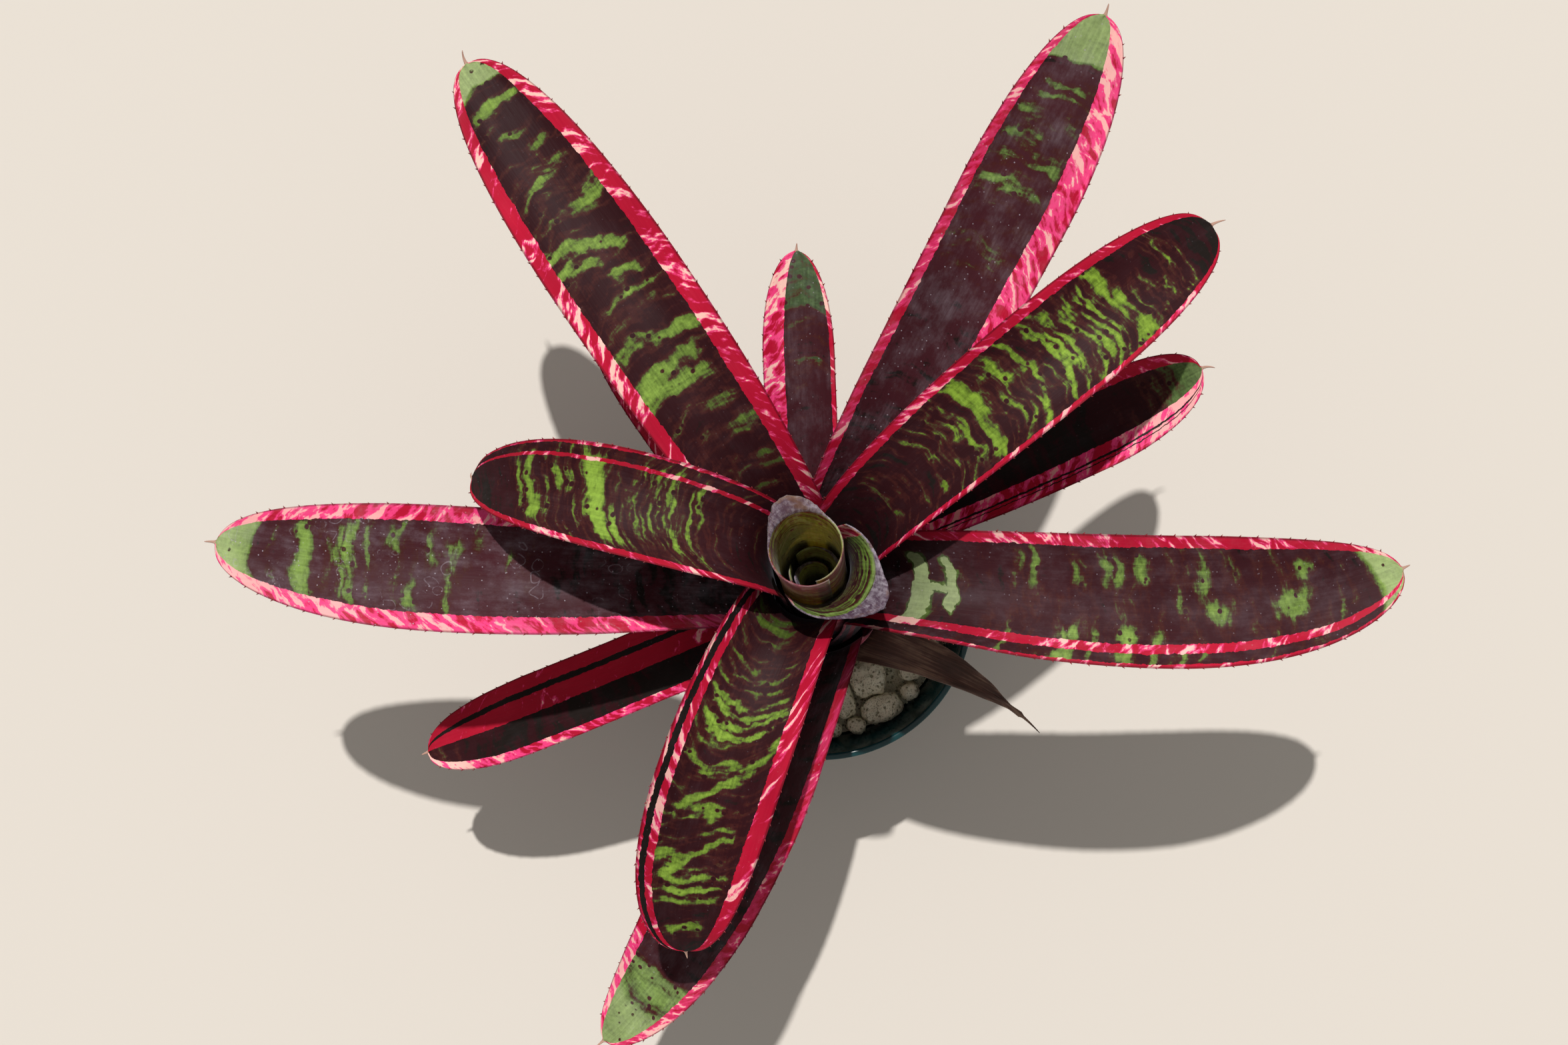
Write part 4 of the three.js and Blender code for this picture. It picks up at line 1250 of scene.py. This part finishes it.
def field_colour(recipe, settings, start, where, marks, bias):
    """Green tissue, barred where the dark pigment is missing."""
    lack = weighed(marks, FIELD_LACK) + (start["Bare"] - 0.58) * 1.6 + (bias - 0.5) * 2 + 0.5
    green = recipe.ramp(start["Fresh"], [
        (0, paint(settings.moss)), (0.5, paint(settings.green)), (1, paint(settings.lime))])
    glow = lack.ease(0.5, 1.1) * 0.55 + 0.55
    green = recipe.scaled(green, glow * (where["Along"].ease(0.1, 0.38) * 0.6 + 0.4))
    palest = recipe.math("MAXIMUM", start["Bare"].ease(0.68, 0.95) * start["Fresh"],
                         start["Bars"].ease(1.25, 1.5) * 0.8)
    green = recipe.blend(palest * (1 - where["Under"]), green, paint(settings.pale_green))
    green = recipe.scaled(green, weighed(marks, GREEN_SHADE) + 1)
    plum = recipe.math("MINIMUM", start["Dust"] * 0.4, 0.6)
    maroon = recipe.blend(plum, paint(settings.maroon), paint(settings.plum))
    evenly = lack + marks["spots"] * 0.6
    colour = recipe.blend(evenly.ease(*TURNS["maroon"]), paint(settings.ink), maroon)
    for name, shade in (("russet", paint(settings.russet)), ("olive", paint(settings.olive)),
                        ("green", green)):
        colour = recipe.blend(lack.ease(*TURNS[name]), colour, shade)
    return colour


def margin_colour(recipe, settings, start, marks, bias, rosy):
    """Tissue without green: red, with pink and cream where the red is missing."""
    ripe = recipe.math("MINIMUM", start["Bare"], 0.6) - 0.3
    lack = weighed(marks, MARGIN_LACK) + (bias - 0.5) * 1.6 + ripe * rosy * 0.7 + 0.3
    red = recipe.ramp(rosy, [
        (0, paint(settings.wine)), (0.5, paint(settings.crimson)), (1, paint(settings.pink))])
    deep = lack.ease(0.3, 0.05) * rosy.ease(0.3, 0.5)
    red = recipe.blend(deep, red, paint(settings.crimson))
    colour = recipe.blend(lack.ease(*TURNS["pink"]), red, paint(settings.pink))
    pale = lack + rosy.ease(0.6, 1) * 0.1
    return recipe.blend(pale.ease(*TURNS["cream"]) * start["Fleck"], colour,
                        paint(settings.cream))


def dried_colour(recipe, settings, start, where, marks, colour):
    """A leaf's colour with its dried point, and the dried flap of a rolled leaf."""
    colour = recipe.blend(where["Share"].ease(1, 1.02), colour, paint(settings.straw))
    dried = where["Y"] - start["Dried"] + marks["veins"] * 0.12
    rim_line = dried.ease(-0.1, -0.04) * marks["low"].ease(0.03, 0.12) * 0.5
    colour = recipe.blend(rim_line, colour, paint(settings.pale_green))
    mottle = weighed(marks, FLAP_MOTTLE)
    flap = recipe.blend(mottle.ease(-0.25, 0.4) * 0.75, paint(settings.lilac),
                        paint(settings.scurf))
    flap = recipe.blend(marks["blotch"].ease(0.02, 0.16) * 0.8, flap, paint(settings.husk))
    return recipe.blend(dried.ease(0, 0.03), colour, flap)


def banding(settings):
    """Node group: the leaf's cross-bands, colours, gloss and relief."""
    if "banding" in bpy.data.node_groups:
        return bpy.data.node_groups["banding"]
    recipe, start, end = new_group(
        "banding", "Stripe Bare Seed Fresh Net Fine Skew Bow Dust Fleck Dried Bars",
        "Colour Roughness Normal")
    where = recipe.group(leaf_places(), {field: start[field] for field in PLACE_FIELDS})
    marks = leaf_marks(recipe, start, where)
    veins, low, under = marks["veins"], marks["low"], marks["under"]
    tissue, bias, rosy = recipe.parts(start["Stripe"])
    colour = recipe.blend(
        tissue, margin_colour(recipe, settings, start, marks, bias, rosy),
        field_colour(recipe, settings, start, where, marks, bias))

    # Cloudy and veined, darker along the outline, and darkened towards the base of each blade and
    # along its sheath as painted shade, where the bases lie in shadow at the heart.
    shade = (marks["shade"] * 0.6 + 1) * (veins * 0.2 + 1)
    shade = shade * (where["Edge"].ease(0.985, 0.955) * 0.55 + 0.45)
    # Painted shade: the bases near the heart are darkened, as if shaded by the leaves over them.
    shade = shade * (where["Along"].ease(0.02, 0.3) * 0.55 + 0.45)
    colour = recipe.scaled(colour, shade)

    # Scurf: specks, a film along the veins, and rings where water has dried.
    specks = marks["specks"].ease(0.2, 0.1) * recipe.parts(marks["own specks"])[0].ease(0.6, 1)
    film = marks["film"].ease(-0.1, 0.3) * 0.1 * (veins * 1.8 + 1)
    wet = (low + marks["speckle"] * 0.5).ease(0.02, 0.16)
    rings = abs(marks["rings"] - 0.34).ease(0.045, 0.01) * wet
    rings = rings * recipe.math("MAXIMUM", start["Dust"] * 0.5 - 0.7, 0)
    dust = (specks * 0.4 + film) * start["Dust"] + rings
    colour = recipe.blend(dust, colour, paint(settings.scurf))
    colour = dried_colour(recipe, settings, start, where, marks, colour)
    # Silvery bands of scales on the underside.
    silver = (marks["silver"].ease(-0.05, 0.12) * 0.16 + 0.08) * under
    recipe.fill(end, {
        "Colour": recipe.blend(silver, colour, paint(settings.scurf)),
        "Roughness": dust * 0.8 + 0.5 + veins * 0.12 + under * 0.15,
        "Normal": recipe.bump(veins + film * 0.4, 0.12, 0.0005)})
    return recipe.tree


def bar_group():
    """Node group: how far a spot is inside one cross-bar."""
    if "bar" in bpy.data.node_groups:
        return bpy.data.node_groups["bar"]
    recipe, start, end = new_group("bar", "Across Along " + " ".join(BAR_FIELDS), "Inside")
    aside = start["Across"] - (start["From"] + start["To"]) * 0.5
    off = abs(start["Along"] - (start["Spot"] + aside * start["Slant"])) / start["Half"]
    side = abs(aside) - (start["To"] - start["From"]) * 0.5
    inside = off.ease(2.2, 0.3) * side.ease(0.07, -0.05)
    recipe.fill(end, {"Inside": inside * start["Bare"]})
    return recipe.tree


def bars_on(recipe, name, where, seed):
    """How far a spot is inside any of a leaf's cross-bars, whose edges wander."""
    x, y, share = where["X"], where["Y"], where["Share"]
    aside, onward = recipe.bends(recipe.place(x, y, seed * 3.1), 1.3, 3, 0.6)
    wander = (onward * 0.75 + (where["Swept"] - y)) * (share / (y + TINY))
    place = {"Across": where["Across"] + aside * 0.22, "Along": share + wander}
    numbers = [float(word) for word in BARS[name].split()]
    inside = 0.0
    for first in range(0, len(numbers), len(BAR_FIELDS)):
        bar = dict(zip(BAR_FIELDS, numbers[first:]))
        inside = recipe.math("MAXIMUM", inside, recipe.group(bar_group(), place | bar)["Inside"])
    return inside


def banded_material(name, settings, seed):
    """A leaf's own stripes and bands."""
    look = dict(zip(LOOK_FIELDS, LOOKS[name]))
    material, recipe, surface = new_material("banded_" + name)
    sockets = {field.capitalize(): look[field] for field in LOOK_FIELDS[2:]}
    sockets["Seed"] = seed * 13.7
    where = recipe.group(leaf_places(), {field: sockets[field] for field in PLACE_FIELDS})
    kinds = look["stripes"].split()
    stripes = [(float(spot), (*STRIPES[kind], 1)) for kind, spot in zip(kinds[::2], kinds[1::2])]
    shares = [float(word) for word in look["bare"].split()]
    bare = [(spot, (value, value, value, 1)) for spot, value in zip(shares[::2], shares[1::2])]
    sockets["Stripe"] = recipe.ramp(where["Across"], stripes, "CONSTANT")
    sockets["Bare"] = recipe.ramp(where["Along"], bare)
    if name in BARS:
        sockets["Bars"] = bars_on(recipe, name, where, seed)
    bands = recipe.group(banding(settings), sockets)
    recipe.fill(surface, {
        "Base Color": bands["Colour"], "Roughness": bands["Roughness"], "Normal": bands["Normal"],
        "Specular IOR Level": 0.07, "Sheen Weight": 0.05, "Sheen Roughness": 0.35,
        "Sheen Tint": (0.8, 0.85, 1, 1)})
    if "olive" in look["stripes"]:
        recipe.fill(surface, {"Subsurface Weight": 0.6, "Subsurface Radius": (1, 0.8, 0.4),
                              "Subsurface Scale": 0.006})
    return material


def new_material(name):
    """A material with its recipe and its surface shader."""
    material = bpy.data.materials.new(name)
    material.use_nodes = True
    return material, Recipe(material.node_tree), material.node_tree.nodes["Principled BSDF"]


def husk_material(settings):
    """The dead leaf: brown paper with darker veins."""
    material, recipe, surface = new_material("papery_husk")
    x, y = recipe.on_map("Span")
    veins = recipe.grain(recipe.place(x * 14, y * 0.6), 1, 3)
    blotch = recipe.grain(recipe.place(x * 1.2, y * 0.7, 5.0), 1, 4)
    recipe.fill(surface, {
        "Base Color": recipe.ramp(veins * 0.8 + blotch + 0.5, [
            (0.2, (0.045, 0.02, 0.014, 1)), (0.5, paint(settings.husk)),
            (0.8, (0.34, 0.22, 0.15, 1))]),
        "Roughness": blotch * 0.3 + 0.6, "Normal": recipe.bump(veins, 0.6, 0.0008)})
    return material


def spine_material(settings):
    """Spines: dark red horn, darker to some of their ends."""
    if "spine_horn" in bpy.data.materials:
        return bpy.data.materials["spine_horn"]
    material, recipe, surface = new_material("spine_horn")
    patch = recipe.grain(recipe.on_object(), 900).ease(-0.2, 0.2)
    recipe.fill(surface, {
        "Base Color": recipe.blend(patch, paint(settings.spine), (0.3, 0.02, 0.03, 1)),
        "Roughness": 0.4})
    return material


def glaze_material(settings):
    """The pot's glossy dark finish, with faint clouding and dust."""
    material, recipe, surface = new_material("pot_glaze_finish")
    place = recipe.on_object()
    cloud = recipe.grain(place, 60, 4)
    dust = recipe.grain(place, 400, 5, 0.7).ease(0.1, 0.3)
    colour = recipe.blend(cloud.ease(-0.3, 0.3), paint(settings.glaze), paint(settings.glaze, 0.5))
    recipe.fill(surface, {
        "Base Color": recipe.blend(dust * 0.12, colour, (0.4, 0.4, 0.36, 1)),
        "Roughness": dust * 0.25 + cloud * 0.06 + 0.16,
        "Normal": recipe.bump(cloud, 0.15, 0.0005)})
    return material


def pumice_material(settings, name, scale):
    """Grey-beige pumice with pale glassy specks, darkened in its pits as painted shade."""
    material, recipe, surface = new_material(name)
    place = recipe.on_object()
    bend = recipe.scaled(recipe.noise(place, 500)[1], 0.0014)
    bent = recipe.node("ShaderNodeVectorMath", {0: place, 1: bend}, operation="ADD").outputs[0]
    holes, own = recipe.cells(bent, 620 / scale)
    small, _ = recipe.cells(bent, 1500 / scale)
    # Painted shade: the pores are darkened towards the pit colour, where shade falls in them.
    pit = holes.ease(0.42, 0.22) * recipe.parts(own)[0].above(0.35)
    pit = recipe.math("MAXIMUM", pit, small.ease(0.34, 0.2) * 0.6)
    cloud = recipe.grain(place, 130, 4, 0.6)
    stone = recipe.ramp(cloud + 0.5, [
        (0.25, paint(settings.stone, 0.7)), (0.5, paint(settings.stone)),
        (0.75, paint(settings.stone, 1.35))])
    recipe.fill(surface, {
        "Base Color": recipe.blend(pit * 0.85, stone, paint(settings.pits)), "Roughness": 0.9,
        "Specular IOR Level": 0.3, "Normal": recipe.bump(cloud * 0.8 - pit, 0.8, 0.0007)})
    return material


def wood_material():
    """Fibrous brown stem and roots."""
    material, recipe, surface = new_material("woody_stem")
    x, y, z = recipe.parts(recipe.on_object())
    fibre = recipe.grain(recipe.place(x * 900, y * 900, z * 120), 1, 4)
    recipe.fill(surface, {
        "Base Color": recipe.ramp(fibre + 0.5, [
            (0.3, (0.035, 0.02, 0.012, 1)), (0.55, (0.14, 0.085, 0.05, 1)),
            (0.8, (0.3, 0.22, 0.14, 1))]),
        "Roughness": fibre * 0.3 + 0.75, "Normal": recipe.bump(fibre, 0.7, 0.001)})
    return material


def cover_node(node, material):
    """Give a solid that is kept its finish."""
    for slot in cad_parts[node].material_slots:
        slot.material = material


# Operators


class BROMELIAD_OT_pot(bpy.types.Operator):
    """Spin the pot and pierce its drain holes"""

    bl_idname = "bromeliad.pot"
    bl_label = "Pot"

    def execute(self, context):
        make_pot(context.scene.bromeliad_pot)
        return {"FINISHED"}


class BROMELIAD_OT_pumice(bpy.types.Operator):
    """Lay the stones and grains of pumice, and finish the bed and the stem under them"""

    bl_idname = "bromeliad.pumice"
    bl_label = "Pumice"

    def execute(self, context):
        settings = context.scene.bromeliad_pumice
        make_stones(settings)
        make_grains(settings)
        cover_node("pumice_bed", pumice_material(settings, "pumice_fill", 1))
        cover_node("stem", wood_material())
        return {"FINISHED"}


class BROMELIAD_OT_strap_leaves(bpy.types.Operator):
    """Grow the long, short and arching leaves and the dry leaf"""

    bl_idname = "bromeliad.strap_leaves"
    bl_label = "Strap leaves"

    def execute(self, context):
        for number, row in enumerate(STRAP_LEAVES):
            leaf = dict(zip(STRAP_FIELDS, row))
            make_strap_leaf(leaf, context.scene.bromeliad_leaf, number + 1)
        return {"FINISHED"}


class BROMELIAD_OT_heart(bpy.types.Operator):
    """Roll the young leaves at the heart"""

    bl_idname = "bromeliad.heart"
    bl_label = "Heart"

    def execute(self, context):
        for number, row in enumerate(ROLLED_LEAVES):
            leaf = dict(zip(ROLLED_FIELDS, row))
            make_rolled_leaf(leaf, context.scene.bromeliad_leaf, number + 31)
        return {"FINISHED"}


class BROMELIAD_OT_stage(bpy.types.Operator):
    """Set the floor, the lights and the camera"""

    bl_idname = "bromeliad.stage"
    bl_label = "Stage"

    def execute(self, context):
        settings = context.scene.bromeliad_stage
        make_floor(settings)
        make_lights(settings)
        make_camera(settings)
        return {"FINISHED"}


def make_floor(settings):
    """A plain pale floor under the pot."""
    bm = bmesh.new()
    bmesh.ops.create_grid(bm, x_segments=1, y_segments=1, size=12)
    bmesh.ops.translate(bm, vec=(0, 0, -0.0001), verts=bm.verts[:])
    material, recipe, surface = new_material("floor_paper")
    recipe.fill(surface, {"Base Color": paint(settings.floor), "Roughness": 0.85})
    mesh_object(bm, "floor", [material])


def make_lights(settings):
    """A key light from the north, and pale light from all round."""
    lamp = bpy.data.lights.new("key_light", "SUN")
    lamp.energy = settings.key
    lamp.angle = settings.key_size
    lamp.color = (1, 0.97, 0.93)
    key = put_in_scene("key_light", lamp)
    aim = round_axis(math.cos(settings.key_height), settings.key_side,
                     math.sin(settings.key_height))
    key.rotation_mode = "QUATERNION"
    key.rotation_quaternion = aim.to_track_quat("Z", "Y")
    world = bpy.data.worlds.new("studio")
    world.use_nodes = True
    recipe = Recipe(world.node_tree)
    seen = recipe.values(recipe.node("ShaderNodeLightPath"))["Is Camera Ray"]
    strength = seen * (settings.backdrop - settings.fill) + settings.fill
    recipe.fill(world.node_tree.nodes["Background"], {
        "Color": (1, 0.97, 0.92, 1), "Strength": strength})
    bpy.context.scene.world = world
    bpy.context.scene.view_settings.view_transform = "Standard"


def make_camera(settings):
    """A camera over the plant, looking straight down."""
    lens = bpy.data.cameras.new("camera")
    lens.lens = settings.lens
    lens.sensor_width = 36
    lens.clip_start = 0.01
    camera = put_in_scene("camera", lens)
    camera.location = settings.eye
    bpy.context.scene.camera = camera


class BROMELIAD_PT_panel(bpy.types.Panel):
    """Lists the parts that can be built"""

    bl_idname = "BROMELIAD_PT_panel"
    bl_label = "Potted bromeliad"
    bl_space_type = "VIEW_3D"
    bl_region_type = "UI"
    bl_category = "Bromeliad"

    def draw(self, context):
        parts = (
            (BROMELIAD_OT_pot, context.scene.bromeliad_pot),
            (BROMELIAD_OT_pumice, context.scene.bromeliad_pumice),
            (BROMELIAD_OT_strap_leaves, context.scene.bromeliad_leaf),
            (BROMELIAD_OT_heart, None),
            (BROMELIAD_OT_stage, context.scene.bromeliad_stage),
        )
        for operator, settings in parts:
            box = self.layout.box()
            box.operator(operator.bl_idname)
            if settings is None:
                continue
            for name in settings.bl_rna.properties.keys():
                if name not in ("rna_type", "name"):
                    box.prop(settings, name)


SETTINGS = (
    ("bromeliad_pot", PotSettings), ("bromeliad_pumice", PumiceSettings),
    ("bromeliad_leaf", LeafSettings), ("bromeliad_stage", StageSettings),
)
OPERATORS = (
    BROMELIAD_OT_stage, BROMELIAD_OT_pot, BROMELIAD_OT_pumice, BROMELIAD_OT_strap_leaves,
    BROMELIAD_OT_heart,
)


def register():
    """Add the settings, operators and panel."""
    for name, group in SETTINGS:
        bpy.utils.register_class(group)
        setattr(bpy.types.Scene, name, PointerProperty(type=group))
    for operator in OPERATORS:
        bpy.utils.register_class(operator)
    bpy.utils.register_class(BROMELIAD_PT_panel)


def unregister():
    """Take them away again."""
    bpy.utils.unregister_class(BROMELIAD_PT_panel)
    for operator in OPERATORS:
        bpy.utils.unregister_class(operator)
    for name, group in SETTINGS:
        delattr(bpy.types.Scene, name)
        bpy.utils.unregister_class(group)


def main():
    """Build the stage and every piece."""
    register()
    bpy.ops.bromeliad.stage()
    bpy.ops.bromeliad.pot()
    bpy.ops.bromeliad.pumice()
    bpy.ops.bromeliad.strap_leaves()
    bpy.ops.bromeliad.heart()


if __name__ == "__main__":
    main()
